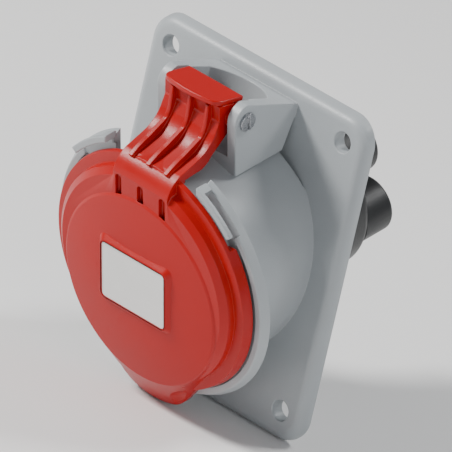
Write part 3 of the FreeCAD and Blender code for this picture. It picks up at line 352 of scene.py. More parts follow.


# The last colour of each finish is its painted edge highlight, a shade lighter than the body.
HOUSING_GREY = plastic("housing_grey", (0.35, 0.375, 0.39), gloss=0.38, size=0.28, depth=0.30,
                       edge=0.35, painted_edge_highlight=(0.47, 0.49, 0.50))
LID_RED = plastic("lid_red", (0.40, 0.004, 0.003), gloss=0.33, size=0.28, depth=0.26,
                  edge=0.35, painted_edge_highlight=(0.50, 0.014, 0.009), shine=0.3)
INSERT_BLACK = plastic("insert_black", (0.016, 0.017, 0.018), gloss=0.42, size=0.3, depth=0.3,
                       edge=0.3, painted_edge_highlight=(0.045, 0.045, 0.047))
SEAL_RUBBER = plastic("seal_rubber", (0.020, 0.020, 0.021), gloss=0.72, size=0.35, depth=0.35,
                      edge=0.2, painted_edge_highlight=(0.035, 0.035, 0.035))
LABEL_CARD = plastic("label_card", (0.78, 0.78, 0.76), gloss=0.5, size=0.5, depth=0.08,
                     edge=0.2, painted_edge_highlight=(0.8, 0.8, 0.78))

# %% Metals
MARK_SCALE = 900.0
MARK_HEIGHT = 0.03 * MM
STAIN_SCALE = 160.0


def metal(name, colour, gloss, marks, direction):
    """Turned or drawn metal: fine marks, closer together along the larger numbers."""
    made = bpy.data.materials.new(name)
    made.use_nodes = True
    tree = made.node_tree
    shader = tree.nodes["Principled BSDF"]
    place = node(tree, "ShaderNodeTexCoord").outputs["Object"]
    stretch = node(tree, "ShaderNodeMapping", {"Vector": place, "Scale": direction})
    lines = node(tree, "ShaderNodeTexNoise", {
        "Vector": stretch.outputs[0], "Scale": MARK_SCALE, "Detail": 3.0})
    stain = node(tree, "ShaderNodeTexNoise", {
        "Vector": place, "Scale": STAIN_SCALE, "Detail": 5.0})
    shade = node(tree, "ShaderNodeMapRange", {
        "Value": stain.outputs["Fac"], "From Min": 0.3, "From Max": 0.7,
        "To Min": 0.82, "To Max": 1.08})
    tint = node(tree, "ShaderNodeHueSaturation", {
        "Value": shade.outputs[0], "Color": (*colour, 1)})
    rough = node(tree, "ShaderNodeMapRange", {
        "Value": lines.outputs["Fac"], "From Min": 0.3, "From Max": 0.7,
        "To Min": gloss - 0.08, "To Max": gloss + 0.10})
    bump = node(tree, "ShaderNodeBump", {
        "Height": lines.outputs["Fac"], "Strength": marks, "Distance": MARK_HEIGHT})
    tree.links.new(tint.outputs["Color"], shader.inputs["Base Color"])
    tree.links.new(rough.outputs[0], shader.inputs["Roughness"])
    tree.links.new(bump.outputs["Normal"], shader.inputs["Normal"])
    shader.inputs["Metallic"].default_value = 1.0
    return made


ZINC = metal("zinc_plated", (0.40, 0.41, 0.43), gloss=0.28, marks=0.25,
             direction=(1.0, 1.0, 1.0))
SPRING_STEEL = metal("spring_steel", (0.52, 0.52, 0.53), gloss=0.25, marks=0.3,
                     direction=(4.0, 1.0, 1.0))
BRASS = metal("turned_brass", (0.78, 0.57, 0.26), gloss=0.26, marks=0.3,
              direction=(1.0, 6.0, 1.0))

# %% Which piece has which finish
FINISH = {
    "housing": HOUSING_GREY, "flange_gasket": SEAL_RUBBER, "contact_insert": INSERT_BLACK,
    "seat_seal": SEAL_RUBBER, "retaining_ring": INSERT_BLACK, "terminal_base": INSERT_BLACK,
    "middle_screw": ZINC, "contact_springs": SPRING_STEEL, "terminal_screws": ZINC,
    "hinge_pin": ZINC, "pin_washer": SPRING_STEEL, "hinge_spring": SPRING_STEEL, "lid": LID_RED,
    "lid_seal": SEAL_RUBBER, "label_inlay": LABEL_CARD, "thumb_plate": LID_RED,
}
for contact in CONTACTS:
    FINISH[contact] = BRASS
print("pieces with a finish:", len(FINISH))

# %% [markdown]
# ## Softening the mouldings
#
# A moulding has no knife edges: the tool leaves a small radius everywhere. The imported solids
# are exact but sharp, and made of loose triangles. A copy is joined up, its flat triangles
# are dissolved, and each run of sharp edges gets a small bevel if no face folds over. Each
# copy prints how much of its edge found room. About half of the lid's did, and three
# quarters of the housing's. The rest lies beside narrow curved faces, stays sharp in the
# mesh and is only rounded in the shading. The copy then stands for the solid. A remesh would
# round every edge, but it would blur the label frame.


# %% Helpers for finished pieces
def finish_piece(name, mesh, material, body, *stands_for):
    """Put a mesh in the scene with its finish, on its body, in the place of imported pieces."""
    piece = bpy.data.objects.new(name, mesh)
    bpy.context.scene.collection.objects.link(piece)
    mesh.materials.clear()
    mesh.materials.append(material)
    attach(piece, body)
    if stands_for:
        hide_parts(*stands_for)
    print(name, len(mesh.polygons), "faces")
    return piece


def add_piece(name, mesh, material, body, *stands_for, smooth=35):
    """A finished piece with smooth shading up to an angle."""
    mesh.shade_smooth()
    mesh.set_sharp_from_angle(angle=math.radians(smooth))
    return finish_piece(name, mesh, material, body, *stands_for)


def plain_mesh(piece):
    """The evaluated mesh of a piece, modifiers included; the piece itself is removed."""
    evaluated = piece.evaluated_get(bpy.context.evaluated_depsgraph_get())
    mesh = bpy.data.meshes.new_from_object(evaluated)
    bpy.data.objects.remove(piece)
    return mesh


def cut_away(mesh, cutter_mesh):
    """The first mesh less the second."""
    whole = bpy.data.objects.new("whole", mesh)
    cutter = bpy.data.objects.new("cutter", cutter_mesh)
    for thing in (whole, cutter):
        bpy.context.scene.collection.objects.link(thing)
    less = whole.modifiers.new("less", "BOOLEAN")
    less.object = cutter
    less.solver = "EXACT"
    made = plain_mesh(whole)
    bpy.data.objects.remove(cutter)
    return made


# %% Joined copies
WELD = 0.002 * MM
FLAT = math.radians(0.5)


def joined_copy(name, hollows=None):
    """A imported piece, its triangles joined and its flat faces dissolved, less any hollows."""
    work = bmesh.new()
    work.from_mesh(nodes[name].data)
    bmesh.ops.remove_doubles(work, verts=work.verts, dist=WELD)
    bmesh.ops.dissolve_limit(work, angle_limit=FLAT, verts=work.verts, edges=work.edges)
    if hollows:
        whole = bpy.data.meshes.new(name)
        work.to_mesh(whole)
        work.clear()
        work.from_mesh(cut_away(whole, hollows))
    for face in work.faces:
        face.material_index = 0
    for kind in (work.verts, work.edges, work.faces):
        kind.index_update()
    return work


# %% Runs of sharp edges
SHARP = math.radians(27)
SHORTEST = 1.5 * MM


def edge_chains(work):
    """Sharp edges as lists of numbers, joined up where only two meet: outside, long ones first."""
    sharp = [edge for edge in work.edges
             if len(edge.link_faces) == 2 and edge.calc_face_angle() > SHARP]
    meeting = {}
    for edge in sharp:
        for point in edge.verts:
            meeting.setdefault(point.index, []).append(edge.index)
    found, done = [], set()
    work.edges.ensure_lookup_table()
    for edge in sharp:
        chain, waiting = [], [edge.index]
        while waiting:
            number = waiting.pop()
            if number in done:
                continue
            done.add(number)
            chain.append(number)
            for point in work.edges[number].verts:
                if len(meeting[point.index]) == 2:
                    waiting += meeting[point.index]
        length = sum(work.edges[number].calc_length() for number in chain)
        if length > SHORTEST:
            found.append((not work.edges[chain[0]].is_convex, -length, chain))
    return [chain for inside, length, chain in sorted(found)]


def run_of(work, chains):
    """The length of all the edges in some chains, in millimetres."""
    length = sum(work.edges[number].calc_length() for chain in chains for number in chain)
    return round(length / MM)


# %% Bevels that fold no face
FOLD = 0.06 * MM * MM
BEVEL_STEPS = 3


def rounded_off(work, chains, width):
    """A mesh with the chains rounded and its new faces marked, or None where a face folds over.

    The triangles of a face that folds over cover more area than the face has.
    """
    trial = work.copy()
    trial.edges.ensure_lookup_table()
    edges = [trial.edges[number] for chain in chains for number in chain]
    made = bmesh.ops.bevel(trial, geom=edges, offset=width * MM, segments=BEVEL_STEPS,
                           profile=0.5, affect="EDGES", clamp_overlap=False, loop_slide=True)
    for face in made["faces"]:
        face.material_index = 1
    mesh = bpy.data.meshes.new("rounded")
    trial.to_mesh(mesh)
    trial.free()
    mesh.calc_loop_triangles()
    owners = np.zeros(len(mesh.loop_triangles), dtype=np.int32)
    sizes = np.zeros(len(mesh.loop_triangles), dtype=np.float32)
    areas = np.zeros(len(mesh.polygons), dtype=np.float32)
    mesh.loop_triangles.foreach_get("polygon_index", owners)
    mesh.loop_triangles.foreach_get("area", sizes)
    mesh.polygons.foreach_get("area", areas)
    covered = np.bincount(owners, weights=sizes, minlength=len(areas))
    if np.abs(covered - areas).max() < FOLD:
        return mesh
    bpy.data.meshes.remove(mesh)
    return None


# %% Exact shading
NEAR = 0.05 * MM
ALIKE = 0.6


def exact_normals(mesh, source):
    """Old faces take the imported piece's own normals, and each new bevel runs out into them."""
    triangles = [tuple(face.vertices) for face in source.polygons]
    places = [point.co.copy() for point in source.vertices]
    given = [corner.vector.copy() for corner in source.corner_normals]
    surface = BVHTree.FromPolygons(places, triangles)
    normals = [None] * len(mesh.loops)
    at_point = {}
    for face in mesh.polygons:
        if face.material_index:
            continue
        for corner in face.loop_indices:
            number = mesh.loops[corner].vertex_index
            place = mesh.vertices[number].co
            near = surface.find_nearest_range(place, NEAR)
            best = max(near, key=lambda hit: hit[1].dot(face.normal), default=None)
            if best is None:
                normals[corner] = mesh.vertices[number].normal.copy()
            else:
                triangle = source.polygons[best[2]]
                share = poly_3d_calc([places[i] for i in triangle.vertices], place)
                parts = [given[i] * s for i, s in zip(triangle.loop_indices, share)]
                normals[corner] = sum(parts, Vector()).normalized()
            at_point.setdefault(number, []).append(normals[corner])
    for face in mesh.polygons:
        if not face.material_index:
            continue
        for corner in face.loop_indices:
            number = mesh.loops[corner].vertex_index
            beside = [normal for normal in at_point.get(number, ())
                      if normal.dot(face.normal) > ALIKE]
            mean = sum(beside, Vector()) if beside else mesh.vertices[number].normal
            normals[corner] = mean.normalized()
    for face in mesh.polygons:
        face.material_index = 0
    mesh.shade_smooth()
    mesh.normals_split_custom_set(normals)


# %% Softened copies
def softened(name, width, hollows=None):
    """A copy with a small bevel, in millimetres, on every run of edges that has room for it."""
    work = joined_copy(name, hollows)
    chains = edge_chains(work)
    kept = []
    mesh = rounded_off(work, chains, width)
    if mesh:
        kept = chains
    else:
        for chain in chains:
            trial = rounded_off(work, kept + [chain], width)
            if trial:
                mesh = trial
                kept.append(chain)
    print(name, "rounded", run_of(work, kept), "of", run_of(work, chains), "mm of sharp edges,",
          len(kept), "of", len(chains), "chains")
    work.free()
    exact_normals(mesh, nodes[name].data)
    finish_piece(f"{name}_soft", mesh, FINISH[name], nodes[name]["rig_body"], name)


BEVELS = {"housing": 0.4, "thumb_plate": 0.45, "contact_insert": 0.3, "terminal_base": 0.3,
          "hinge_pin": 0.18, "pin_washer": 0.12, "label_inlay": 0.08, "middle_screw": 0.15}
for name, width in BEVELS.items():
    softened(name, width)

# %% [markdown]
# ## Finger hollows under the nose
#
# The nose lifts the lid, and a fingertip finds a shallow oval hollow on each of its flanks.
# The flanks have only a few large faces, so there are no points to push in. A flat egg shape
# is taken away from the joined copy instead, before its edges are softened. Its place, its
# directions and its half sizes are given in socket axes, in millimetres.

# %% The lid with its hollows
GRIP = Vector((12.4, -31.8, -37.9))
GRIP_OUT = Vector((0.40, -0.77, -0.50)).normalized()
GRIP_ALONG = Vector((0.73, -0.08, 0.68))
GRIP_HALF = (5.9, 2.5, 1.6)
GRIP_LIFT = 0.65
LID_BEVEL = 0.4


def grip_hollows():
    """A flat egg shape over each flank of the nose."""
    across = GRIP_OUT.cross(GRIP_ALONG).normalized()
    turn = Matrix((across.cross(GRIP_OUT), across, GRIP_OUT)).transposed().to_4x4()
    middle = Matrix.Translation(GRIP + GRIP_OUT * GRIP_LIFT)
    egg = middle @ turn @ Matrix.Diagonal((*GRIP_HALF, 1))
    work = bmesh.new()
    for side in (1, -1):
        place = SOCKET @ Matrix.Diagonal((side * MM, MM, MM, 1)) @ egg
        bmesh.ops.create_icosphere(work, subdivisions=4, radius=1.0, matrix=place)
    bmesh.ops.recalc_face_normals(work, faces=work.faces)
    mesh = bpy.data.meshes.new("hollows")
    work.to_mesh(mesh)
    work.free()
    return mesh


softened("lid", LID_BEVEL, grip_hollows())

# %% [markdown]
# ## Turned and ring shaped pieces
#
# Rings are made by turning a small outline about the socket axis. The outline lists only the
# corners that the ring needs, in millimetres from the axis and along it. Turning by code keeps
# an exact number of steps, so notches can be set in the ring while it is made. The terminal
# screws further down are turned in the same way, about the X axis.

# %% Turning an outline
TIP_WELD = 0.0001 * MM


def lathe(outline, steps, axis="Y", notch=None):
    """A closed outline of (radius, along) turned about the Y or the X axis."""
    work = bmesh.new()
    rings = []
    for step in range(steps):
        angle = 2 * math.pi * step / steps
        ring = []
        for point in outline:
            radius, along = notch(step, *point) if notch else point
            a, b = radius * MM * math.cos(angle), radius * MM * math.sin(angle)
            corner = (a, along * MM, b) if axis == "Y" else (along * MM, a, b)
            ring.append(work.verts.new(corner))
        rings.append(ring)
    for step, ring in enumerate(rings):
        following = rings[(step + 1) % steps]
        for index, corner in enumerate(ring):
            after = (index + 1) % len(ring)
            work.faces.new((corner, following[index], following[after], ring[after]))
    bmesh.ops.remove_doubles(work, verts=work.verts, dist=TIP_WELD)
    bmesh.ops.recalc_face_normals(work, faces=work.faces)
    mesh = bpy.data.meshes.new("lathe")
    work.to_mesh(mesh)
    work.free()
    return mesh


def turned_ring(outline, steps, notch=None):
    """A closed outline of (radius, depth) turned about the socket axis, as a mesh."""
    mesh = lathe(outline, steps, notch=notch)
    mesh.name = "ring"
    mesh.transform(SOCKET)
    return mesh


# %% Lid seal
SEAL_IN, SEAL_OUT = 28.9, 32.1
SEAL_FRONT, SEAL_BACK = -32.5, -30.8
SEAL_STEPS = 144
LIP_HIGH, LIP_WIDE = 0.5, 1.0
LIP_RISE, LIP_FALL = 0.3, 0.7
lid_seal = [
    (SEAL_IN, SEAL_FRONT), (SEAL_IN, SEAL_BACK - LIP_HIGH), (SEAL_IN + LIP_RISE, SEAL_BACK),
    (SEAL_IN + LIP_FALL, SEAL_BACK), (SEAL_IN + LIP_WIDE, SEAL_BACK - LIP_HIGH),
    (SEAL_OUT - LIP_WIDE, SEAL_BACK - LIP_HIGH), (SEAL_OUT - LIP_FALL, SEAL_BACK),
    (SEAL_OUT - LIP_RISE, SEAL_BACK), (SEAL_OUT, SEAL_BACK - LIP_HIGH), (SEAL_OUT, SEAL_FRONT)]
add_piece("lid_seal_lips", turned_ring(lid_seal, SEAL_STEPS), SEAL_RUBBER, "lid", "lid_seal")

# %% Seat seal
O_RING, O_MIDDLE = 28.775, 9.0
O_THICK, O_OVAL = 0.6, 1.25
O_CORNERS, O_STEPS = 12, 120
turns = [2 * math.pi * k / O_CORNERS for k in range(O_CORNERS)]
seat_seal = [(O_RING + O_THICK * math.cos(a), O_MIDDLE + O_THICK * O_OVAL * math.sin(a))
             for a in turns]
add_piece("seat_seal_ring", turned_ring(seat_seal, O_STEPS), SEAL_RUBBER, "body", "seat_seal")

# %% Retaining ring
RING_IN, RING_OUT = 26.4, 29.4
RING_FRONT, RING_BACK = 11.0, 15.0
RING_STEPS, CHAMFER = 240, 0.3
NOTCHES, NOTCH_STEPS = 10, 6
NOTCH_DEEP, NOTCH_WALL = 1.4, 0.6


def spanner_notch(step, radius, depth):
    """Pull the back of the ring forward where a spanner grips it."""
    in_notch = step % (RING_STEPS // NOTCHES) < NOTCH_STEPS
    at_back = depth > RING_BACK - 1 and radius < RING_OUT - NOTCH_WALL
    return (radius, depth - NOTCH_DEEP) if in_notch and at_back else (radius, depth)


retaining = [
    (RING_IN, RING_FRONT), (RING_IN, RING_BACK - CHAMFER), (RING_IN + CHAMFER, RING_BACK),
    (RING_OUT - 2 * NOTCH_WALL, RING_BACK), (RING_OUT - CHAMFER, RING_BACK),
    (RING_OUT, RING_BACK - CHAMFER), (RING_OUT, RING_FRONT)]
add_piece("retaining_ring_notched", turned_ring(retaining, RING_STEPS, spanner_notch),
          INSERT_BLACK, "body", "retaining_ring")

# %% [markdown]
# ## Geometry Nodes for what repeats
#
# The five poles carry the same screws, raised entry rims and spring rings, and the gasket and
# the hinge spring follow a path. Geometry Nodes say such a rule once, with its sizes as named
# inputs. Each tree ends by making its instances real and setting the material, and the result
# is turned into a plain mesh, so nothing live is left on the finished piece.


# %% Building geometry trees
def new_tree(name, inputs):
    """An empty geometry tree with named inputs (name, type) and one output."""
    tree = bpy.data.node_groups.new(name, "GeometryNodeTree")
    for label, kind in inputs:
        tree.interface.new_socket(label, in_out="INPUT", socket_type=kind)
    tree.interface.new_socket("Geometry", in_out="OUTPUT", socket_type="NodeSocketGeometry")
    return tree, tree.nodes.new("NodeGroupInput").outputs, tree.nodes.new("NodeGroupOutput")


def times(tree, first, second):
    """The product of two numbers."""
    return sums(tree, "MULTIPLY", first, second)


def spot(tree, **parts):
    """A vector put together from its X, Y and Z. A part left out is zero."""
    return node(tree, "ShaderNodeCombineXYZ", parts).outputs[0]


def close_tree(tree, geometry, material, result):
    """Make instances real, shade smooth and set the material, as every tree here ends."""
    real = node(tree, "GeometryNodeRealizeInstances", {"Geometry": geometry})
    smooth = node(tree, "GeometryNodeSetShadeSmooth", {"Geometry": real.outputs[0]})
    dressed = node(tree, "GeometryNodeSetMaterial", {
        "Geometry": smooth.outputs[0], "Material": material})
    tree.links.new(dressed.outputs[0], result.inputs[0])


def grown(tree, values):
    """Evaluate a tree on an empty piece with its inputs set, and return the plain mesh."""
    seed = bpy.data.objects.new("seed", bpy.data.meshes.new("seed"))
    bpy.context.scene.collection.objects.link(seed)
    rule = seed.modifiers.new("rule", "NODES")
    rule.node_group = tree
    for item in tree.interface.items_tree:
        if item.in_out == "INPUT" and item.name in values:
            rule[item.identifier] = values[item.name]
    return plain_mesh(seed)


# %% Panel gasket
def gasket_tree():
    """A rounded rectangle swept with a flat bead that has two lips."""
    tree, given, result = new_tree("panel_gasket", [
        ("Width", "NodeSocketFloat"), ("Height", "NodeSocketFloat"),
        ("Corner", "NodeSocketFloat"), ("Bead", "NodeSocketFloat"),
        ("Thick", "NodeSocketFloat"), ("Material", "NodeSocketMaterial")])
    square = node(tree, "GeometryNodeCurvePrimitiveQuadrilateral", {
        "Width": given["Width"], "Height": given["Height"]})
    path = node(tree, "GeometryNodeFilletCurve", {
        "Curve": square.outputs[0], "Radius": given["Corner"], "Count": 12}, mode="POLY")
    ellipse = node(tree, "GeometryNodeCurvePrimitiveCircle", {"Resolution": 16, "Radius": 1.0})
    half_lip = times(tree, given["Bead"], 0.25)
    half_high = times(tree, given["Thick"], 0.5)
    both = node(tree, "GeometryNodeJoinGeometry")
    for side in (1.0, -1.0):
        lip = node(tree, "GeometryNodeTransform", {
            "Geometry": ellipse.outputs[0],
            "Translation": spot(tree, X=times(tree, half_lip, side)),
            "Scale": spot(tree, X=half_lip, Y=half_high, Z=1.0)})
        tree.links.new(lip.outputs[0], both.inputs[0])
    bead = node(tree, "GeometryNodeCurveToMesh", {
        "Curve": path.outputs[0], "Profile Curve": both.outputs[0]})
    stood = node(tree, "GeometryNodeTransform", {
        "Geometry": bead.outputs[0], "Translation": spot(tree, Y=times(tree, half_high, -1.0)),
        "Rotation": (math.radians(90), 0, 0)})
    close_tree(tree, stood.outputs[0], given["Material"], result)
    return tree


BEAD = 2.6 * MM
GASKET_CORNER = 4.8 * MM
low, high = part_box("flange_gasket")
gasket = grown(gasket_tree(), {
    "Width": high.x - low.x - BEAD, "Height": high.z - low.z - BEAD, "Corner": GASKET_CORNER,
    "Bead": BEAD, "Thick": high.y - low.y, "Material": SEAL_RUBBER})
add_piece("flange_gasket_lips", gasket, SEAL_RUBBER, "body", "flange_gasket")

# %% [markdown]
# ## Hinge spring
#
# The spring that shuts the lid is wound from round wire: a few turns about the pin, one leg
# under the thumb plate and one on the floor of the block. The floor leg leans forward, so
# that the plate can swing down behind it. The tree bends a straight row of points into the
# winding with sines and cosines, adds the legs as two lines that touch it, and sweeps the
# wire's circle along all three.

# %% Wound spring
SPRING_POINTS = 171
FULL_TURN = 2 * math.pi


def spring_tree():
    """A winding about the X axis and its two straight legs, swept with round wire."""
    tree, given, result = new_tree("wound_spring", [
        ("Coil", "NodeSocketFloat"), ("Wire", "NodeSocketFloat"), ("Turns", "NodeSocketFloat"),
        ("Pitch", "NodeSocketFloat"), ("Upper leg", "NodeSocketFloat"),
        ("Lower leg", "NodeSocketFloat"), ("Material", "NodeSocketMaterial")])
    coil = given["Coil"]
    row = node(tree, "GeometryNodeMeshLine", {"Count": SPRING_POINTS})
    index = node(tree, "GeometryNodeInputIndex").outputs[0]
    share = sums(tree, "DIVIDE", index, SPRING_POINTS - 1.0)
    length = times(tree, given["Turns"], given["Pitch"])
    angle = times(tree, times(tree, share, given["Turns"]), FULL_TURN)
    place = spot(tree, X=times(tree, times(tree, share, length), -1.0),
                 Y=times(tree, sums(tree, "SINE", angle), coil),
                 Z=times(tree, sums(tree, "COSINE", angle), coil))
    bent = node(tree, "GeometryNodeSetPosition", {"Geometry": row.outputs[0], "Position": place})
    winding = node(tree, "GeometryNodeMeshToCurve", {"Mesh": bent.outputs[0]})
    upper = node(tree, "GeometryNodeCurvePrimitiveLine", {
        "Start": spot(tree, Z=coil),
        "End": spot(tree, Y=times(tree, given["Upper leg"], -1.0), Z=coil)})
    last = times(tree, given["Turns"], FULL_TURN)
    sine, cosine = sums(tree, "SINE", last), sums(tree, "COSINE", last)
    side = spot(tree, X=times(tree, length, -1.0), Y=times(tree, sine, coil),
                Z=times(tree, cosine, coil))
    run = spot(tree, Y=times(tree, cosine, given["Lower leg"]),
               Z=times(tree, times(tree, sine, given["Lower leg"]), -1.0))
    side_end = node(tree, "ShaderNodeVectorMath", {0: side, 1: run}, operation="ADD")
    lower = node(tree, "GeometryNodeCurvePrimitiveLine", {
        "Start": side, "End": side_end.outputs[0]})
    paths = node(tree, "GeometryNodeJoinGeometry")
    for part in (winding, upper, lower):
        tree.links.new(part.outputs[0], paths.inputs[0])
    wire = node(tree, "GeometryNodeCurvePrimitiveCircle", {
        "Resolution": 14, "Radius": given["Wire"]})
    swept = node(tree, "GeometryNodeCurveToMesh", {
        "Curve": paths.outputs[0], "Profile Curve": wire.outputs[0], "Fill Caps": True})
    close_tree(tree, swept.outputs[0], given["Material"], result)
    return tree


WIRE, COIL, TURNS = 0.45, 3.1, 4.35
PITCH = WIRE * 2.3
UPPER_LEG, LOWER_LEG = WIRE * 4, 11.85
spring = grown(spring_tree(), {
    "Coil": COIL * MM, "Wire": WIRE * MM, "Turns": TURNS, "Pitch": PITCH * MM,
    "Upper leg": UPPER_LEG * MM, "Lower leg": LOWER_LEG * MM, "Material": SPRING_STEEL})
spring.transform(SOCKET @ Matrix.Translation(
    (PITCH * TURNS / 2 * MM, HINGE_ALONG * MM, HINGE_UP * MM)))
add_piece("hinge_spring_wound", spring, SPRING_STEEL, "body", "hinge_spring", smooth=60)

# %% [markdown]
# ## Five of each
#
# The entries, the spring rings and the terminal screws stand on the circle of contacts, 72
# degrees apart, with the larger earth contact at the bottom. A tree sets a shape on its
# places and turns each copy to face outwards. It is built twice, for the four equal poles and
# for the earth, because the earth contact has a larger shape of its own.

# %% Setting a shape on the poles
EARTH_ANGLE = -90.0
POLE_STEP = 72.0


def pole_tree(count, first):
    """Instances of a shape on the circle of contacts, from pole number first."""
    tree, given, result = new_tree("on_poles", [
        ("Shape", "NodeSocketObject"), ("Circle", "NodeSocketFloat"),
        ("Material", "NodeSocketMaterial")])
    spots = node(tree, "GeometryNodeMeshLine", {"Count": count})
    index = node(tree, "GeometryNodeInputIndex").outputs[0]
    number = sums(tree, "ADD", index, float(first))
    angle = sums(tree, "RADIANS", sums(tree, "ADD", times(tree, number, POLE_STEP), EARTH_ANGLE))
    place = spot(tree, X=times(tree, sums(tree, "COSINE", angle), given["Circle"]),
                 Z=times(tree, sums(tree, "SINE", angle), given["Circle"]))
    placed = node(tree, "GeometryNodeSetPosition", {
        "Geometry": spots.outputs[0], "Position": place})
    shape = node(tree, "GeometryNodeObjectInfo", {"Object": given["Shape"]})
    copies = node(tree, "GeometryNodeInstanceOnPoints", {
        "Points": placed.outputs[0], "Instance": shape.outputs["Geometry"],
        "Rotation": spot(tree, Y=times(tree, angle, -1.0))})
    close_tree(tree, copies.outputs[0], given["Material"], result)
    return tree


PHASES = pole_tree(count=4, first=1)
EARTH_ONLY = pole_tree(count=1, first=0)


def on_poles(phase, earth, material):
    """One mesh with the phase shape on four poles and the earth shape at the bottom."""
    work = bmesh.new()
    for mesh, tree in ((phase, PHASES), (earth, EARTH_ONLY)):
        pattern = bpy.data.objects.new("pattern", mesh)
        bpy.context.scene.collection.objects.link(pattern)
        sizes = {"Shape": pattern, "Circle": PIN_CIRCLE * MM, "Material": material}
        work.from_mesh(grown(tree, sizes))
        bpy.data.objects.remove(pattern)
    all_five = bpy.data.meshes.new("on_poles")
    work.to_mesh(all_five)
    work.free()
    all_five.transform(SOCKET)
    return all_five


# %% Raised rims round the pin entries
PHASE_BORE, EARTH_BORE = 2.75, 3.75
INSERT_FACE = -29.4
RIM_HIGH, RIM_SUNK = 0.45, 0.2
RIM_GAP, RIM_WIDE = 0.05, 1.15
RIM_ROUND = 0.25
RIM_STEPS = 48


def entry_rim(bore):
    """A low rounded rim round an entry, with a lead-in towards the bore."""
    inside, outside = bore + RIM_GAP, bore + RIM_WIDE
    foot, top = INSERT_FACE + RIM_SUNK, INSERT_FACE - RIM_HIGH
    return lathe([
        (inside, foot), (inside + RIM_ROUND, INSERT_FACE - RIM_HIGH * 0.6),
        (inside + 2 * RIM_ROUND, top), (outside - RIM_ROUND, top),
        (outside, INSERT_FACE - RIM_HIGH * 0.5), (outside, foot)], RIM_STEPS)


rims = on_poles(entry_rim(PHASE_BORE), entry_rim(EARTH_BORE), INSERT_BLACK)
rim_piece = add_piece("entry_rims", rims, INSERT_BLACK, "body")

# %% [markdown]
# ## Spring rings of the contacts
#
# A garter ring is a long coil of thin wire bent into a circle. It presses the contact fingers
# onto the pin. It could be a plain ring, but a wound one is easy: a circle of points is
# pushed out and in again by a second, much faster circle, and a fine wire is swept along it.

# %% Garter rings
TURN_POINTS = 9


def garter_tree():
    """A circle of small turns about the Y axis, swept with fine wire."""
    tree, given, result = new_tree("garter_ring", [
        ("Ring", "NodeSocketFloat"), ("Coil", "NodeSocketFloat"), ("Wire", "NodeSocketFloat"),
        ("Turns", "NodeSocketInt"), ("Material", "NodeSocketMaterial")])
    count = times(tree, given["Turns"], float(TURN_POINTS))
    circle = node(tree, "GeometryNodeMeshCircle", {"Vertices": count})
    index = node(tree, "GeometryNodeInputIndex").outputs[0]
    slow = times(tree, sums(tree, "DIVIDE", index, count), FULL_TURN)
    fast = times(tree, sums(tree, "DIVIDE", index, float(TURN_POINTS)), FULL_TURN)
    swing = times(tree, sums(tree, "COSINE", fast), given["Coil"])
    radius = sums(tree, "ADD", given["Ring"], swing)
    place = spot(tree, X=times(tree, sums(tree, "COSINE", slow), radius),
                 Y=times(tree, sums(tree, "SINE", fast), given["Coil"]),
                 Z=times(tree, sums(tree, "SINE", slow), radius))
    bent = node(tree, "GeometryNodeSetPosition", {
        "Geometry": circle.outputs[0], "Position": place})
    path = node(tree, "GeometryNodeMeshToCurve", {"Mesh": bent.outputs[0]})
    wire = node(tree, "GeometryNodeCurvePrimitiveCircle", {
        "Resolution": 5, "Radius": given["Wire"]})
    swept = node(tree, "GeometryNodeCurveToMesh", {
        "Curve": path.outputs[0], "Profile Curve": wire.outputs[0]})
    close_tree(tree, swept.outputs[0], given["Material"], result)
    return tree


GARTER = garter_tree()
GARTER_DEPTH = -21.5
GARTER_COIL, GARTER_WIRE, GARTER_SUNK = 0.16, 0.06, 0.25
GARTER_TURNS = 22
PHASE_TUBE, EARTH_TUBE = 3.9, 4.9


def garter_ring(tube):
    """The wound ring of one contact, in its groove. Its number of turns follows its size."""
    mesh = grown(GARTER, {
        "Ring": (tube - GARTER_SUNK) * MM, "Coil": GARTER_COIL * MM, "Wire": GARTER_WIRE * MM,
        "Turns": int(tube * GARTER_TURNS), "Material": SPRING_STEEL})
    mesh.transform(Matrix.Translation((0, GARTER_DEPTH * MM, 0)))
    return mesh


garters = on_poles(garter_ring(PHASE_TUBE), garter_ring(EARTH_TUBE), SPRING_STEEL)
add_piece("contact_springs_wound", garters, SPRING_STEEL, "body", "contact_springs", smooth=60)

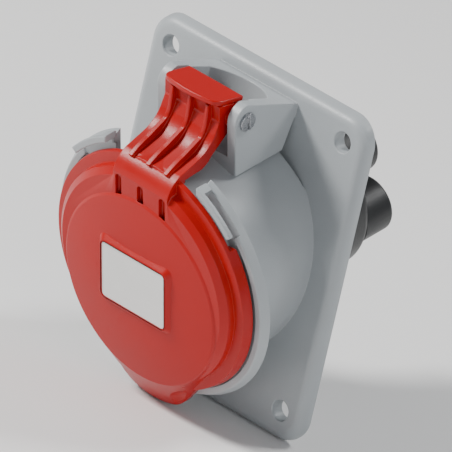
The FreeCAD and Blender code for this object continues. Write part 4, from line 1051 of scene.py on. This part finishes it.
# %% [markdown]
# ## Terminal screws
#
# Each terminal is clamped by a slotted screw that stands on the radius. The screw is turned
# with a rounded cheese head, the slot is cut as a real gap between two halves of the head,
# and fine grooves stand for the thread.

# %% Slotted screw
HEAD, HEAD_HIGH, SHANK = 2.4, 1.7, 1.5
HEAD_ROUND = 0.35
TIP, THREAD_FROM, THREAD_TO = 0.3, 0.6, 0.5
THREAD_STEP, THREAD_DEEP = 0.4, 0.16
SCREW_STEPS, SCREW_DEPTH = 40, 23.5
BLADE = (1.2, 0.9, 6.0)


def slotted_screw(tube):
    """A cheese head screw along the X axis, its head outside the contact tube."""
    top = tube + HEAD_HIGH
    outline = [(0.0, TIP), (SHANK - HEAD_ROUND, TIP)]
    along = THREAD_FROM
    while along < tube - THREAD_TO:
        outline += [(SHANK, along), (SHANK - THREAD_DEEP, along + THREAD_STEP / 2)]
        along += THREAD_STEP
    outline += [(SHANK, tube - 0.1), (SHANK, tube), (HEAD, tube), (HEAD, top - HEAD_ROUND),
                (HEAD - 0.1, top - 0.12), (HEAD - HEAD_ROUND, top), (0.0, top)]
    mesh = lathe(outline, SCREW_STEPS, axis="X")
    block = bmesh.new()
    size = Matrix.Diagonal([length * MM for length in BLADE] + [1])
    place = Matrix.Translation((top * MM, 0, 0))
    bmesh.ops.create_cube(block, size=1.0, matrix=place @ size)
    blade = bpy.data.meshes.new("blade")
    block.to_mesh(blade)
    block.free()
    screw = cut_away(mesh, blade)
    screw.transform(Matrix.Translation((0, SCREW_DEPTH * MM, 0)))
    return screw


screws = on_poles(slotted_screw(PHASE_TUBE), slotted_screw(EARTH_TUBE), ZINC)
add_piece("terminal_screws_slotted", screws, ZINC, "body", "terminal_screws")

# %% [markdown]
# ## What stays as packed
#
# The five contacts already have their real shape, with slotted fingers, wire bore and cross
# thread. They could be turned again in code, but that would only repeat the solids, so they
# keep their shape and take a turned brass finish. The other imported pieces, which the copies
# above stand for, take the same finishes as their copies.

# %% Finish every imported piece
for name, piece in nodes.items():
    for slot in piece.material_slots:
        slot.material = FINISH[name]
print("packed pieces finished:", len(nodes))
